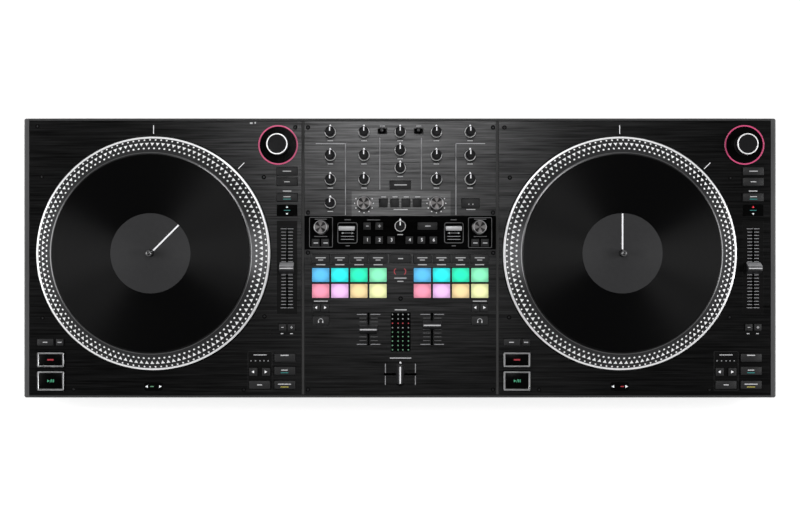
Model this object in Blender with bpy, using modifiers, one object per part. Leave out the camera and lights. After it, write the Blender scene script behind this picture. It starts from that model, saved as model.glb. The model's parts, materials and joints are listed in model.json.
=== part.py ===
# DJ controller: two motor-driven record decks either side of a mixer, in one shallow case.
# Metres, +Z up, +Y to the rear. The origin is on the floor under the middle of the case.

import math

import bmesh
import bpy
from mathutils import Matrix

MM = 0.001

# Fits
SEAT_GAP = 0.3 * MM
PANEL_GAP = 0.5 * MM
SEAM_GAP = 2.8 * MM
KEY_CLEARANCE = 0.4 * MM
SHAFT_CLEARANCE = 0.6 * MM
RUNNING_GAP = 0.6 * MM
OVERRUN = 2 * MM
OVERLAP = 0.5 * MM
WELD_DISTANCE = 0.01 * MM

# Case and panels
CASE_HEIGHT = 44 * MM
SIDE_WALL = 4.8 * MM
END_WALL = 2.2 * MM
FLOOR_THICKNESS = 2.5 * MM
CASE_CHAMFER = 1.2 * MM
PANEL_THICKNESS = 2 * MM
MIXER_WIDTH = 178.2 * MM
REAR_MARGIN = 14.5 * MM
FRONT_KEY_EDGE = 3.77 * MM
LEFT_OUTER_MARGIN = 6.8 * MM
LEFT_CONTROL_EDGE = 3.85 * MM
RIGHT_INNER_MARGIN = 3.9 * MM
RIGHT_CONTROL_EDGE = 6.35 * MM

# Feet
FOOT_HEIGHT = 6 * MM
FOOT_RADIUS = 12 * MM
FOOT_TAPER = 1.5 * MM
FOOT_INSET = 26 * MM

# Board and the posts that carry it and the panels
BOARD_DEPTH = 16 * MM
BOARD_THICKNESS = 1.6 * MM
BOARD_MARGIN = 3 * MM
POST_RADIUS = 4.5 * MM
POST_PIN_RADIUS = 2.4 * MM
POST_INSET = 3 * MM
POT_SIZE = 9 * MM
POT_HEIGHT = 9 * MM
SWITCH_SIZE = 8 * MM
TRACK_WIDTH = 10 * MM
TRACK_HEIGHT = 10 * MM
TRACK_END = 4 * MM
CRADLE_DEPTH = 8 * MM

# Sockets in the rear wall
JACK_WIDTH = 12 * MM
JACK_HEIGHT = 11 * MM
JACK_LENGTH = 18 * MM
JACK_PITCH = 20 * MM
JACK_BORE = 3.2 * MM
JACK_BORE_DEPTH = 15 * MM
JACK_COUNT = 4
DATA_PORT_WIDTH = 8.5 * MM
DATA_PORT_HEIGHT = 7.8 * MM
DATA_PORT_DEPTH = 10 * MM
POWER_BORE = 2.75 * MM
SOCKET_INSET = 0.2 * MM
SOCKET_CLEARANCE = 0.4 * MM

# Platter, record and motor
PLATTER_RADIUS = 108.5 * MM
PLATTER_CLEARANCE = 1.2 * MM
BEVEL_RUN = 14.3 * MM
RIM_LAND = 1.6 * MM
RIM_HEIGHT = 3 * MM
BEVEL_RISE = 14 * MM
SKIRT_DEPTH = 6 * MM
SKIRT_WALL = 5 * MM
WEB_THICKNESS = 5 * MM
HUB_RADIUS = 16 * MM
SPINDLE_RADIUS = 2.9 * MM
SPINDLE_HEIGHT = 13 * MM
SPINDLE_CHAMFER = 1.2 * MM
RECORD_MARGIN = 1.2 * MM
RECORD_THICKNESS = 2 * MM
RECORD_EDGE = 0.7 * MM
RECORD_CLEARANCE = 0.4 * MM
LABEL_RADIUS = 36.7 * MM
LABEL_RISE = 0.3 * MM
MOTOR_RADIUS = 34 * MM
MOTOR_FLANGE = 4 * MM
MOTOR_FLANGE_THICKNESS = 3 * MM
MOTOR_HEIGHT = 19 * MM
MOTOR_SHAFT_RADIUS = 4 * MM
MOTOR_SHAFT_LENGTH = 20 * MM

# Knobs and encoders
SHAFT_RADIUS = 3 * MM
KNOB_SKIRT_RADIUS = 5.4 * MM
KNOB_SKIRT_HEIGHT = 2.4 * MM
KNOB_CAP_RADIUS = 4.7 * MM
KNOB_HEIGHT = 15 * MM
FILTER_SKIRT_RADIUS = 6.9 * MM
FILTER_CAP_RADIUS = 6.2 * MM
FILTER_HEIGHT = 14 * MM
BROWSE_BEZEL_GAP = 2.1 * MM
BROWSE_BEZEL_HEIGHT = 1 * MM
BROWSE_RADIUS = 9.9 * MM
BROWSE_CAP_RADIUS = 9 * MM
BROWSE_HEIGHT = 15 * MM
KNOB_TAPER_SHARE = 0.93

# Faders
STEM_THICKNESS = 1.2 * MM
STEM_LENGTH = 3 * MM
STEM_CLEARANCE = 0.4 * MM
TEMPO_TRAVEL = 72 * MM
CHANNEL_TRAVEL = 26.8 * MM
CROSSFADER_TRAVEL = 26.4 * MM
TEMPO_CAP = (13.3 * MM, 11.2 * MM)
CHANNEL_CAP = (16.6 * MM, 8.3 * MM)
CROSSFADER_CAP = (16.7 * MM, 7.5 * MM)
FADER_CAP_HEIGHT = 10 * MM
FADER_CAP_GAP = 0.8 * MM
FADER_RIDGE_SHARE = 0.36
RIGHT_CHANNEL_OFFSET = 4 * MM

# Keys and pads
KEY_RISE = 1.6 * MM
PAD_RISE = 2.4 * MM
CARRIER_THICKNESS = 1.2 * MM
KEY_FLANGE = 1 * MM
LONG_KEY_GAP = 4.2 * MM
LONG_KEY_ROW_GAP = 2.5 * MM
DECK_KEY_GAP = 4.5 * MM
SMALL_KEY_GAP = 1.95 * MM
SMALL_KEY_DEPTH = 6.2 * MM
SYNC_KEY_GAP = 2.8 * MM
CUE_KEY = (25.4 * MM, 14.2 * MM)
PLAY_KEY_GAP = 3.3 * MM
PAD_GAP = 1.6 * MM
MODE_KEY_DEPTH = 8.1 * MM
CENTRE_KEY = (19.2 * MM, 7.6 * MM)
EFFECT_KEY_GAP = 2.9 * MM
SIDE_KEY = (16.6 * MM, 8.5 * MM)
NUMBER_KEY_GAP = 4.6 * MM
END_KEY_GAP = 2.2 * MM
SHIFT_KEY = (17.9 * MM, 6.8 * MM)
BANK_KEY_GAP = 1 * MM
BANK_KEY_DEPTH = 7.4 * MM
PHONES_KEY = (14.9 * MM, 8 * MM)
CARRIER_ARM = 3.4 * MM
ARM_CLEARANCE = 0.8 * MM

# Paddles and mini switches
PADDLE_WIDTH = 14.7 * MM
PADDLE_THICKNESS = 2.6 * MM
PADDLE_HEIGHT = 11 * MM
PADDLE_LIP = 1.4 * MM
PADDLE_LIP_HEIGHT = 3 * MM
PADDLE_BARREL_RADIUS = 2.4 * MM
PADDLE_PIVOT_DEPTH = 5 * MM
PADDLE_SWING = math.radians(18)
SWITCH_PIVOT_DEPTH = 3 * MM
SWITCH_BALL_RADIUS = 2.6 * MM
SWITCH_NECK_RADIUS = 1.1 * MM
SWITCH_TIP_RADIUS = 1.6 * MM
SWITCH_HEIGHT = 8 * MM
SWITCH_SWING = math.radians(14)

# Sides of the round pieces
PLATTER_SIDES = 48
MOTOR_SIDES = 24
BEZEL_SIDES = 32
BROWSE_SIDES = 20
KNOB_SIDES = 12
FOOT_SIDES = 16
POST_SIDES = 6
BALL_STEPS = 4

# Places on a deck, as shares of the platter's radius from its centre
COLUMN_SHARE = 1.145
LOOP_KEY_SHARES = (0.705, 0.614, 0.481)
BROWSE_SHARES = (1.069, 0.930)
TEMPO_SHARE = -0.128
PITCH_KEY_SHARES = ((1.107, -0.634), (1.184, -0.634))
NAVIGATION_KEY_SHARES = ((0.857, -1.016), (0.966, -1.016))
LOAD_KEY_SHARES = (0.911, -1.127)
SLIP_COLUMN_SHARE = 1.127
SLIP_KEY_SHARES = (-0.895, -1.007, -1.127)
SYNC_KEY_SHARES = (-0.927, -0.762)
TAP_KEY_SHARES = (-0.803, -0.762)
CUE_KEY_SHARES = (-0.882, -0.912)
PLAY_KEY_SHARES = (-0.882, -1.093)
DECK_POST_SHARES = ((-0.948, 0.653), (0.948, 0.653), (-0.948, -0.549), (0.948, -0.549))

# Platter and record
PLATTER_TOP_RADIUS = PLATTER_RADIUS - RIM_LAND - BEVEL_RUN
RECORD_RADIUS = PLATTER_TOP_RADIUS - RECORD_MARGIN

# Deck keys, as wide as the pitch of their places less a gap
LONG_KEY_WIDTH = PLATTER_RADIUS * (SLIP_COLUMN_SHARE - LOAD_KEY_SHARES[0]) - LONG_KEY_GAP
LONG_KEY_DEPTH = PLATTER_RADIUS * (LOOP_KEY_SHARES[0] - LOOP_KEY_SHARES[1]) - LONG_KEY_ROW_GAP
LONG_KEY = (LONG_KEY_WIDTH, LONG_KEY_DEPTH)
SMALL_KEY_WIDTH = PLATTER_RADIUS * (PITCH_KEY_SHARES[1][0] - PITCH_KEY_SHARES[0][0]) - SMALL_KEY_GAP
SMALL_KEY = (SMALL_KEY_WIDTH, SMALL_KEY_DEPTH)
SYNC_KEY_PITCH = PLATTER_RADIUS * (TAP_KEY_SHARES[0] - SYNC_KEY_SHARES[0])
SYNC_KEY = (2 * (SYNC_KEY_PITCH - SYNC_KEY_GAP) - SMALL_KEY_WIDTH, SMALL_KEY_DEPTH)
PLAY_KEY_PITCH = PLATTER_RADIUS * (CUE_KEY_SHARES[1] - PLAY_KEY_SHARES[1])
PLAY_KEY = (CUE_KEY[0], 2 * (PLAY_KEY_PITCH - PLAY_KEY_GAP) - CUE_KEY[1])
SQUARE_KEY_WIDTH = PLATTER_RADIUS * (NAVIGATION_KEY_SHARES[1][0] - NAVIGATION_KEY_SHARES[0][0]) - DECK_KEY_GAP
SQUARE_KEY = (SQUARE_KEY_WIDTH, SQUARE_KEY_WIDTH)
BROWSE_TO_KEY = PLATTER_RADIUS * (BROWSE_SHARES[1] - LOOP_KEY_SHARES[0])
BROWSE_BEZEL_RADIUS = BROWSE_TO_KEY - LONG_KEY_DEPTH / 2 - BROWSE_BEZEL_GAP

# Panels and case, round the platters and the outermost keys
COLUMN_REACH = PLATTER_RADIUS * (COLUMN_SHARE - 1) + LONG_KEY_WIDTH / 2
LEFT_CONTROL_MARGIN = COLUMN_REACH + LEFT_CONTROL_EDGE
RIGHT_CONTROL_MARGIN = COLUMN_REACH + RIGHT_CONTROL_EDGE
FRONT_MARGIN = PLATTER_RADIUS * (-PLAY_KEY_SHARES[1] - 1) + PLAY_KEY[1] / 2 + FRONT_KEY_EDGE
PANEL_DEPTH = 2 * PLATTER_RADIUS + REAR_MARGIN + FRONT_MARGIN
CASE_DEPTH = PANEL_DEPTH + 2 * (END_WALL + PANEL_GAP)
LEFT_DECK_WIDTH = LEFT_OUTER_MARGIN + 2 * PLATTER_RADIUS + LEFT_CONTROL_MARGIN
RIGHT_DECK_WIDTH = RIGHT_INNER_MARGIN + 2 * PLATTER_RADIUS + RIGHT_CONTROL_MARGIN
PANELS_WIDTH = LEFT_DECK_WIDTH + SEAM_GAP + MIXER_WIDTH + SEAM_GAP + RIGHT_DECK_WIDTH
CASE_WIDTH = PANELS_WIDTH + 2 * (SIDE_WALL + PANEL_GAP)

# Levels
CASE_BOTTOM = FOOT_HEIGHT + SEAT_GAP
FLOOR_TOP = CASE_BOTTOM + FLOOR_THICKNESS
PANEL_TOP = CASE_BOTTOM + CASE_HEIGHT
PANEL_UNDER = PANEL_TOP - PANEL_THICKNESS
BOARD_TOP = PANEL_UNDER - BOARD_DEPTH
BOARD_UNDER = BOARD_TOP - BOARD_THICKNESS
POT_TOP = BOARD_TOP + POT_HEIGHT
TRACK_TOP = BOARD_TOP + TRACK_HEIGHT
MOTOR_TOP = FLOOR_TOP + SEAT_GAP + MOTOR_HEIGHT
PLATTER_TOP = PANEL_TOP + RIM_HEIGHT + BEVEL_RISE
RECORD_BOTTOM = PLATTER_TOP + SEAT_GAP
CARRIER_TOP = PANEL_UNDER - SEAT_GAP

# Places across and along
LEFT_EDGE = -PANELS_WIDTH / 2
RIGHT_EDGE = PANELS_WIDTH / 2
LEFT_PLATTER_X = LEFT_EDGE + LEFT_OUTER_MARGIN + PLATTER_RADIUS
RIGHT_PLATTER_X = RIGHT_EDGE - RIGHT_CONTROL_MARGIN - PLATTER_RADIUS
MIXER_X = LEFT_EDGE + LEFT_DECK_WIDTH + SEAM_GAP + MIXER_WIDTH / 2
PLATTER_Y = PANEL_DEPTH / 2 - REAR_MARGIN - PLATTER_RADIUS

# Places on the mixer, as shares of its width and of the panels' depth from the middle
OUTER_COLUMN_SHARE = 0.365
INNER_COLUMN_SHARE = 0.189
OUTER_ROW_SHARES = (0.460, 0.375, 0.287, 0.2015)
INNER_ROW_SHARES = (0.460, 0.375, 0.287)
LEVEL_ROW_SHARES = (0.460, 0.394, 0.329)
CUE_MIX_SHARE = 0.1167
FILTER_ROW_SHARE = 0.200
ENCODER_SHARES = (0.413, 0.1127)
SWITCH_SHARES = (0.095, 0.464)
TOP_KEY_ROW_SHARE = 0.267
EFFECT_KEY_ROW_SHARE = 0.2015
EFFECT_KEY_PITCH_SHARE = 0.0589
SIDE_KEY_SHARES = (0.3676, 0.2003)
END_KEY_SHARES = (0.417, 0.0562)
END_KEY_PITCH_SHARE = 0.0506
NUMBER_ROW_SHARE = 0.0656
NUMBER_START_SHARE = 0.0475
NUMBER_PITCH_SHARE = 0.0628
UPPER_ROW_SHARE = 0.117
SHIFT_KEY_SHARE = 0.142
MODE_ROW_SHARE = -0.0024
PAD_START_SHARE = 0.1156
PAD_PITCH_SHARE = 0.0998
PAD_ROW_SHARES = (-0.0621, -0.1202)
BANK_KEY_SHARES = (0.4153, -0.1811)
BANK_KEY_PITCH_SHARE = 0.0448
PHONES_ROW_SHARE = -0.2286
CHANNEL_FADER_SHARES = (0.166, -0.2604)
CROSSFADER_SHARE = -0.4254
PADDLE_SHARES = (0.278, 0.110)
MIDDLE_POST_SHARE = -0.148

# Key sizes set by the pitch of their rows
PAD_WIDTH = MIXER_WIDTH * PAD_PITCH_SHARE - PAD_GAP
PAD_DEPTH = PANEL_DEPTH * (PAD_ROW_SHARES[0] - PAD_ROW_SHARES[1]) - PAD_GAP
MODE_KEY = (PAD_WIDTH, MODE_KEY_DEPTH)
NUMBER_KEY_WIDTH = MIXER_WIDTH * NUMBER_PITCH_SHARE - NUMBER_KEY_GAP
NUMBER_KEY = (NUMBER_KEY_WIDTH, NUMBER_KEY_WIDTH)
END_KEY_WIDTH = MIXER_WIDTH * END_KEY_PITCH_SHARE - END_KEY_GAP
END_KEY = (END_KEY_WIDTH, END_KEY_WIDTH)
EFFECT_KEY_WIDTH = MIXER_WIDTH * EFFECT_KEY_PITCH_SHARE - EFFECT_KEY_GAP
EFFECT_KEY = (EFFECT_KEY_WIDTH, EFFECT_KEY_WIDTH)
BANK_KEY = (MIXER_WIDTH * BANK_KEY_PITCH_SHARE - BANK_KEY_GAP, BANK_KEY_DEPTH)


# Scene

def clear_scene():
    for obj in list(bpy.data.objects):
        bpy.data.objects.remove(obj, do_unlink=True)


def new_collection(name):
    group = bpy.data.collections.new(name)
    bpy.context.scene.collection.children.link(group)
    return group


clear_scene()
PARTS = new_collection("dj_controller")
CUTTERS = new_collection("cutters")


def new_object(name, mesh, location, group):
    obj = bpy.data.objects.new(name, mesh)
    obj.location = location
    group.objects.link(obj)
    return obj


def give_material(obj, color, roughness, metallic):
    material = bpy.data.materials.new(obj.name + "_finish")
    material.use_nodes = True
    shader = material.node_tree.nodes["Principled BSDF"]
    shader.inputs["Base Color"].default_value = (*color, 1)
    shader.inputs["Roughness"].default_value = roughness
    shader.inputs["Metallic"].default_value = metallic
    obj.data.materials.append(material)


# Finishes: colour, roughness, metallic
CASE_PLASTIC = ((0.045, 0.045, 0.047), 0.5, 0)
BRUSHED_PANEL = ((0.09, 0.09, 0.092), 0.4, 0.8)
FOOT_RUBBER = ((0.02, 0.02, 0.02), 0.8, 0)
BOARD_GREEN = ((0.02, 0.10, 0.05), 0.5, 0)
MOTOR_METAL = ((0.45, 0.45, 0.46), 0.35, 1)
PLATTER_METAL = ((0.35, 0.35, 0.36), 0.35, 1)
RECORD_VINYL = ((0.01, 0.01, 0.01), 0.25, 0)
KNOB_BLACK = ((0.02, 0.02, 0.02), 0.45, 0)
KNOB_CHROME = ((0.6, 0.6, 0.61), 0.25, 1)
FADER_BLACK = ((0.025, 0.025, 0.025), 0.4, 0)
KEY_BLACK = ((0.03, 0.03, 0.03), 0.5, 0)
PAD_SILICONE = ((0.35, 0.75, 0.85), 0.6, 0)
PADDLE_METAL = ((0.6, 0.6, 0.6), 0.35, 1)


# Shapes

def add_box(bm, center, size):
    place = Matrix.Translation(center) @ Matrix.Diagonal((*size, 1))
    return bmesh.ops.create_cube(bm, size=1, matrix=place)["verts"]


def add_cylinder(bm, center, radius, low, high, sides):
    place = Matrix.Translation((center[0], center[1], (low + high) / 2))
    bmesh.ops.create_cone(bm, cap_ends=True, segments=sides, radius1=radius, radius2=radius,
                          depth=high - low, matrix=place)


def add_block(bm, rectangle, low, high, grow=0):
    x, y, width, depth = rectangle
    add_box(bm, (x, y, (low + high) / 2), (width + 2 * grow, depth + 2 * grow, high - low))


def object_from(bm, name, location=(0, 0, 0), group=PARTS):
    mesh = bpy.data.meshes.new(name)
    bm.to_mesh(mesh)
    bm.free()
    return new_object(name, mesh, location, group)


def cutter_from(bm, name, location=(0, 0, 0)):
    cutter = object_from(bm, name, location, CUTTERS)
    cutter.hide_render = True
    cutter.display_type = "WIRE"
    return cutter


def combine(obj, tool, operation):
    modifier = obj.modifiers.new(tool.name, "BOOLEAN")
    modifier.operation = operation
    modifier.object = tool


def turned(name, profile, sides, location, closed=False):
    # The profile runs down the outer side, from the top of the axis to its foot
    mesh = bpy.data.meshes.new(name)
    edges = [(i, i + 1) for i in range(len(profile) - 1)]
    if closed:
        edges.append((len(profile) - 1, 0))
    mesh.from_pydata([(radius, 0, height) for radius, height in profile], edges, [])
    obj = new_object(name, mesh, location, PARTS)
    screw = obj.modifiers.new("turn", "SCREW")
    screw.steps = sides
    screw.render_steps = sides
    screw.use_merge_vertices = True
    screw.merge_threshold = WELD_DISTANCE
    return obj


def flat_plate(name, outline, low, high, location):
    # A plate between two levels, cut to an outline of corner points
    bm = bmesh.new()
    corners = [bm.verts.new((x, y, low)) for x, y in outline]
    edges = [bm.edges.new((corners[i - 1], corners[i])) for i in range(len(corners))]
    face = bmesh.ops.edgeloop_fill(bm, edges=edges)["faces"]
    raised = bmesh.ops.extrude_face_region(bm, geom=face)["geom"]
    tops = [item for item in raised if isinstance(item, bmesh.types.BMVert)]
    bmesh.ops.translate(bm, vec=(0, 0, high - low), verts=tops)
    bmesh.ops.recalc_face_normals(bm, faces=bm.faces)
    return object_from(bm, name, location)


# Places worked out from the shares

def on_deck(shares):
    return PLATTER_RADIUS * shares[0], PLATTER_RADIUS * shares[1]


def on_mixer(shares, side=1):
    return side * MIXER_WIDTH * shares[0], PANEL_DEPTH * shares[1]


def key_at(place, size):
    return place[0], place[1], size[0], size[1]


def deck_cluster_keys():
    keys = [key_at(on_deck((COLUMN_SHARE, row)), LONG_KEY) for row in LOOP_KEY_SHARES]
    keys += [key_at(on_deck(shares), SMALL_KEY) for shares in PITCH_KEY_SHARES]
    keys += [key_at(on_deck(shares), SQUARE_KEY) for shares in NAVIGATION_KEY_SHARES]
    keys.append(key_at(on_deck(LOAD_KEY_SHARES), LONG_KEY))
    keys += [key_at(on_deck((SLIP_COLUMN_SHARE, row)), LONG_KEY) for row in SLIP_KEY_SHARES]
    return keys


def sync_keys():
    return [key_at(on_deck(SYNC_KEY_SHARES), SYNC_KEY), key_at(on_deck(TAP_KEY_SHARES), SMALL_KEY)]


def pad_columns():
    return [PAD_START_SHARE + PAD_PITCH_SHARE * column for column in range(4)]


def mode_keys(side):
    return [key_at(on_mixer((column, MODE_ROW_SHARE), side), MODE_KEY) for column in pad_columns()]


def bank_keys(side):
    column, row = BANK_KEY_SHARES
    half = BANK_KEY_PITCH_SHARE / 2
    keys = [key_at(on_mixer((column + step, row), side), BANK_KEY) for step in (-half, half)]
    keys.append(key_at(on_mixer((column, PHONES_ROW_SHARE), side), PHONES_KEY))
    return keys


def pads(side):
    size = (PAD_WIDTH, PAD_DEPTH)
    return [key_at(on_mixer((column, row), side), size) for row in PAD_ROW_SHARES for column in pad_columns()]


def effect_keys():
    columns = [EFFECT_KEY_PITCH_SHARE * step for step in (-1.5, -0.5, 0.5, 1.5)]
    return [key_at(on_mixer((column, EFFECT_KEY_ROW_SHARE)), EFFECT_KEY) for column in columns]


def number_keys():
    columns = [NUMBER_START_SHARE + NUMBER_PITCH_SHARE * step for step in range(3)]
    keys = []
    for side in (-1, 1):
        keys += [key_at(on_mixer((column, NUMBER_ROW_SHARE), side), NUMBER_KEY) for column in columns]
    keys += [key_at(on_mixer((column, UPPER_ROW_SHARE), -1), NUMBER_KEY) for column in columns[1:]]
    keys.append(key_at(on_mixer((SHIFT_KEY_SHARE, UPPER_ROW_SHARE)), SHIFT_KEY))
    return keys


def end_keys():
    column, row = END_KEY_SHARES
    half = END_KEY_PITCH_SHARE / 2
    return [key_at(on_mixer((column + step, row), side), END_KEY) for side in (-1, 1) for step in (-half, half)]


def top_key():
    return key_at(on_mixer((0, TOP_KEY_ROW_SHARE)), CENTRE_KEY)


def side_key():
    return key_at(on_mixer(SIDE_KEY_SHARES), SIDE_KEY)


def view_key():
    return key_at(on_mixer((0, MODE_ROW_SHARE)), CENTRE_KEY)


def centre_keys():
    return [top_key(), side_key(), view_key()] + effect_keys() + number_keys() + end_keys()


def reach(keys, axis, direction, margin):
    # How far a group of keys reaches along an axis, with a margin round them
    edges = [key[axis] + direction * (key[axis + 2] / 2 + margin) for key in keys]
    return max(edges) if direction > 0 else min(edges)


def knob_places():
    places = {}
    for number, row in enumerate(OUTER_ROW_SHARES, 1):
        places["left_effect_knob_%d" % number] = on_mixer((OUTER_COLUMN_SHARE, row), -1)
    for number, row in enumerate(OUTER_ROW_SHARES[:3], 1):
        places["right_effect_knob_%d" % number] = on_mixer((OUTER_COLUMN_SHARE, row))
    for name, row in zip(("treble", "middle", "bass"), INNER_ROW_SHARES):
        places["left_%s_knob" % name] = on_mixer((INNER_COLUMN_SHARE, row), -1)
        places["right_%s_knob" % name] = on_mixer((INNER_COLUMN_SHARE, row))
    for name, row in zip(("main", "booth", "phones"), LEVEL_ROW_SHARES):
        places[name + "_level_knob"] = on_mixer((0, row))
    places["cue_mix_knob"] = on_mixer((0, CUE_MIX_SHARE))
    return places


def large_knob_places():
    return {
        "left_filter_knob": on_mixer((INNER_COLUMN_SHARE, FILTER_ROW_SHARE), -1),
        "right_filter_knob": on_mixer((INNER_COLUMN_SHARE, FILTER_ROW_SHARE)),
        "left_loop_encoder": on_mixer(ENCODER_SHARES, -1),
        "right_loop_encoder": on_mixer(ENCODER_SHARES),
    }


def channel_fader_place(side):
    return on_mixer(CHANNEL_FADER_SHARES, side)


def tempo_place():
    return on_deck((COLUMN_SHARE, TEMPO_SHARE))


def slot_length(travel):
    return travel + STEM_LENGTH + 2 * STEM_CLEARANCE


def slots_on_mixer():
    width = STEM_THICKNESS + 2 * STEM_CLEARANCE
    slots = [(*channel_fader_place(side), width, slot_length(CHANNEL_TRAVEL)) for side in (-1, 1)]
    slots.append((*on_mixer((0, CROSSFADER_SHARE)), slot_length(CROSSFADER_TRAVEL), width))
    return slots


def paddle_slot(side):
    pivot_to_top = PADDLE_PIVOT_DEPTH + PANEL_THICKNESS
    swing = pivot_to_top * math.tan(PADDLE_SWING) + PADDLE_THICKNESS / 2 / math.cos(PADDLE_SWING)
    return (*on_mixer(PADDLE_SHARES, side), PADDLE_WIDTH + 2 * KEY_CLEARANCE, 2 * (swing + KEY_CLEARANCE))


def switch_slot(side):
    pivot_to_top = SWITCH_PIVOT_DEPTH + PANEL_THICKNESS
    swing = pivot_to_top * math.tan(SWITCH_SWING) + SWITCH_TIP_RADIUS / math.cos(SWITCH_SWING)
    width = 2 * (SWITCH_TIP_RADIUS + KEY_CLEARANCE)
    return (*on_mixer(SWITCH_SHARES, side), 2 * (swing + KEY_CLEARANCE), width)


def post_places():
    places = []
    for platter_x in (LEFT_PLATTER_X, RIGHT_PLATTER_X):
        places += [(platter_x + x, PLATTER_Y + y) for x, y in map(on_deck, DECK_POST_SHARES)]
    corner_x = MIXER_WIDTH / 2 - POST_INSET
    corner_y = PANEL_DEPTH / 2 - POST_RADIUS - POST_INSET
    places += [(MIXER_X + sx * corner_x, sy * corner_y) for sx in (-1, 1) for sy in (-1, 1)]
    places.append((MIXER_X, PANEL_DEPTH * MIDDLE_POST_SHARE))
    return places


def jack_places():
    rear = CASE_DEPTH / 2 - SOCKET_INSET - JACK_LENGTH / 2
    start = LEFT_PLATTER_X - JACK_PITCH * (JACK_COUNT - 1) / 2
    return [(start + JACK_PITCH * number, rear) for number in range(JACK_COUNT)]


def data_port_place():
    return RIGHT_PLATTER_X - JACK_PITCH / 2, jack_places()[0][1]


def power_socket_place():
    return RIGHT_PLATTER_X + JACK_PITCH / 2, jack_places()[0][1]


def socket_places():
    return jack_places() + [data_port_place(), power_socket_place()]


# Case, feet and board

def socket_center(place):
    return place[0], place[1], BOARD_TOP + JACK_HEIGHT / 2


def make_case():
    bm = bmesh.new()
    add_box(bm, (0, 0, CASE_BOTTOM + CASE_HEIGHT / 2), (CASE_WIDTH, CASE_DEPTH, CASE_HEIGHT))
    case = object_from(bm, "bottom_case")
    chamfer = case.modifiers.new("edges", "BEVEL")
    chamfer.width = CASE_CHAMFER
    chamfer.segments = 1
    bm = bmesh.new()
    inside = (0, 0, CASE_WIDTH - 2 * SIDE_WALL, CASE_DEPTH - 2 * END_WALL)
    add_block(bm, inside, FLOOR_TOP, PANEL_TOP + OVERRUN)
    combine(case, cutter_from(bm, "case_inside"), "DIFFERENCE")
    bm = bmesh.new()
    for place in post_places():
        add_cylinder(bm, place, POST_RADIUS, FLOOR_TOP - OVERLAP, BOARD_UNDER - SEAT_GAP, POST_SIDES)
    combine(case, cutter_from(bm, "case_posts"), "UNION")
    bm = bmesh.new()
    for place in post_places():
        add_cylinder(bm, place, POST_PIN_RADIUS, BOARD_UNDER - SEAT_GAP - OVERLAP,
                     PANEL_UNDER - SEAT_GAP, POST_SIDES)
    combine(case, cutter_from(bm, "case_post_pins"), "UNION")
    bm = bmesh.new()
    for x, _ in socket_places():
        window = (x, CASE_DEPTH / 2, JACK_WIDTH + 2 * SOCKET_CLEARANCE, 2 * (END_WALL + OVERRUN))
        low = BOARD_TOP - OVERLAP - SOCKET_CLEARANCE
        add_block(bm, window, low, BOARD_TOP + JACK_HEIGHT + SOCKET_CLEARANCE)
    combine(case, cutter_from(bm, "case_socket_windows"), "DIFFERENCE")
    give_material(case, *CASE_PLASTIC)


def make_feet():
    x = CASE_WIDTH / 2 - FOOT_INSET
    y = CASE_DEPTH / 2 - FOOT_INSET
    places = {"front_left": (-x, -y), "front_right": (x, -y), "rear_left": (-x, y), "rear_right": (x, y)}
    profile = [(0, FOOT_HEIGHT), (FOOT_RADIUS, FOOT_HEIGHT), (FOOT_RADIUS - FOOT_TAPER, 0), (0, 0)]
    for name, place in places.items():
        foot = turned("foot_" + name, profile, FOOT_SIDES, (*place, 0))
        give_material(foot, *FOOT_RUBBER)


def add_board_parts(bm):
    seat = BOARD_TOP - OVERLAP
    knobs = list(knob_places().values()) + list(large_knob_places().values())
    pots = [(MIXER_X + x, y) for x, y in knobs]
    pots += [(platter_x + on_deck(BROWSE_SHARES)[0], PLATTER_Y + on_deck(BROWSE_SHARES)[1])
             for platter_x in (LEFT_PLATTER_X, RIGHT_PLATTER_X)]
    for place in pots:
        add_block(bm, (*place, POT_SIZE, POT_SIZE), seat, POT_TOP)
    for side in (-1, 1):
        x, y = on_mixer(SWITCH_SHARES, side)
        top = PANEL_UNDER - SWITCH_PIVOT_DEPTH - SWITCH_BALL_RADIUS - SEAT_GAP
        add_block(bm, (MIXER_X + x, y, SWITCH_SIZE, SWITCH_SIZE), seat, top)
        x, y = on_mixer(PADDLE_SHARES, side)
        top = PANEL_UNDER - PADDLE_PIVOT_DEPTH - PADDLE_BARREL_RADIUS - SEAT_GAP
        add_block(bm, (MIXER_X + x, y, PADDLE_WIDTH, CRADLE_DEPTH), seat, top)
    for x, y, width, depth in slots_on_mixer():
        length = max(width, depth) + 2 * TRACK_END
        size = (length, TRACK_WIDTH) if width > depth else (TRACK_WIDTH, length)
        add_block(bm, (MIXER_X + x, y, *size), seat, TRACK_TOP)
    for platter_x in (LEFT_PLATTER_X, RIGHT_PLATTER_X):
        x, y = tempo_place()
        length = slot_length(TEMPO_TRAVEL) + 2 * TRACK_END
        add_block(bm, (platter_x + x, PLATTER_Y + y, TRACK_WIDTH, length), seat, TRACK_TOP)
    for place in socket_places():
        add_block(bm, (*place, JACK_WIDTH, JACK_LENGTH), seat, BOARD_TOP + JACK_HEIGHT)


def add_bore(bm, place, radius, depth):
    face = CASE_DEPTH / 2 - SOCKET_INSET
    x, y, z = socket_center(place)
    turn = Matrix.Rotation(math.radians(90), 4, "X")
    middle = (x, face - (depth - OVERRUN) / 2, z)
    bmesh.ops.create_cone(bm, cap_ends=True, segments=KNOB_SIDES, radius1=radius, radius2=radius,
                          depth=depth + OVERRUN, matrix=Matrix.Translation(middle) @ turn)


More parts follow.
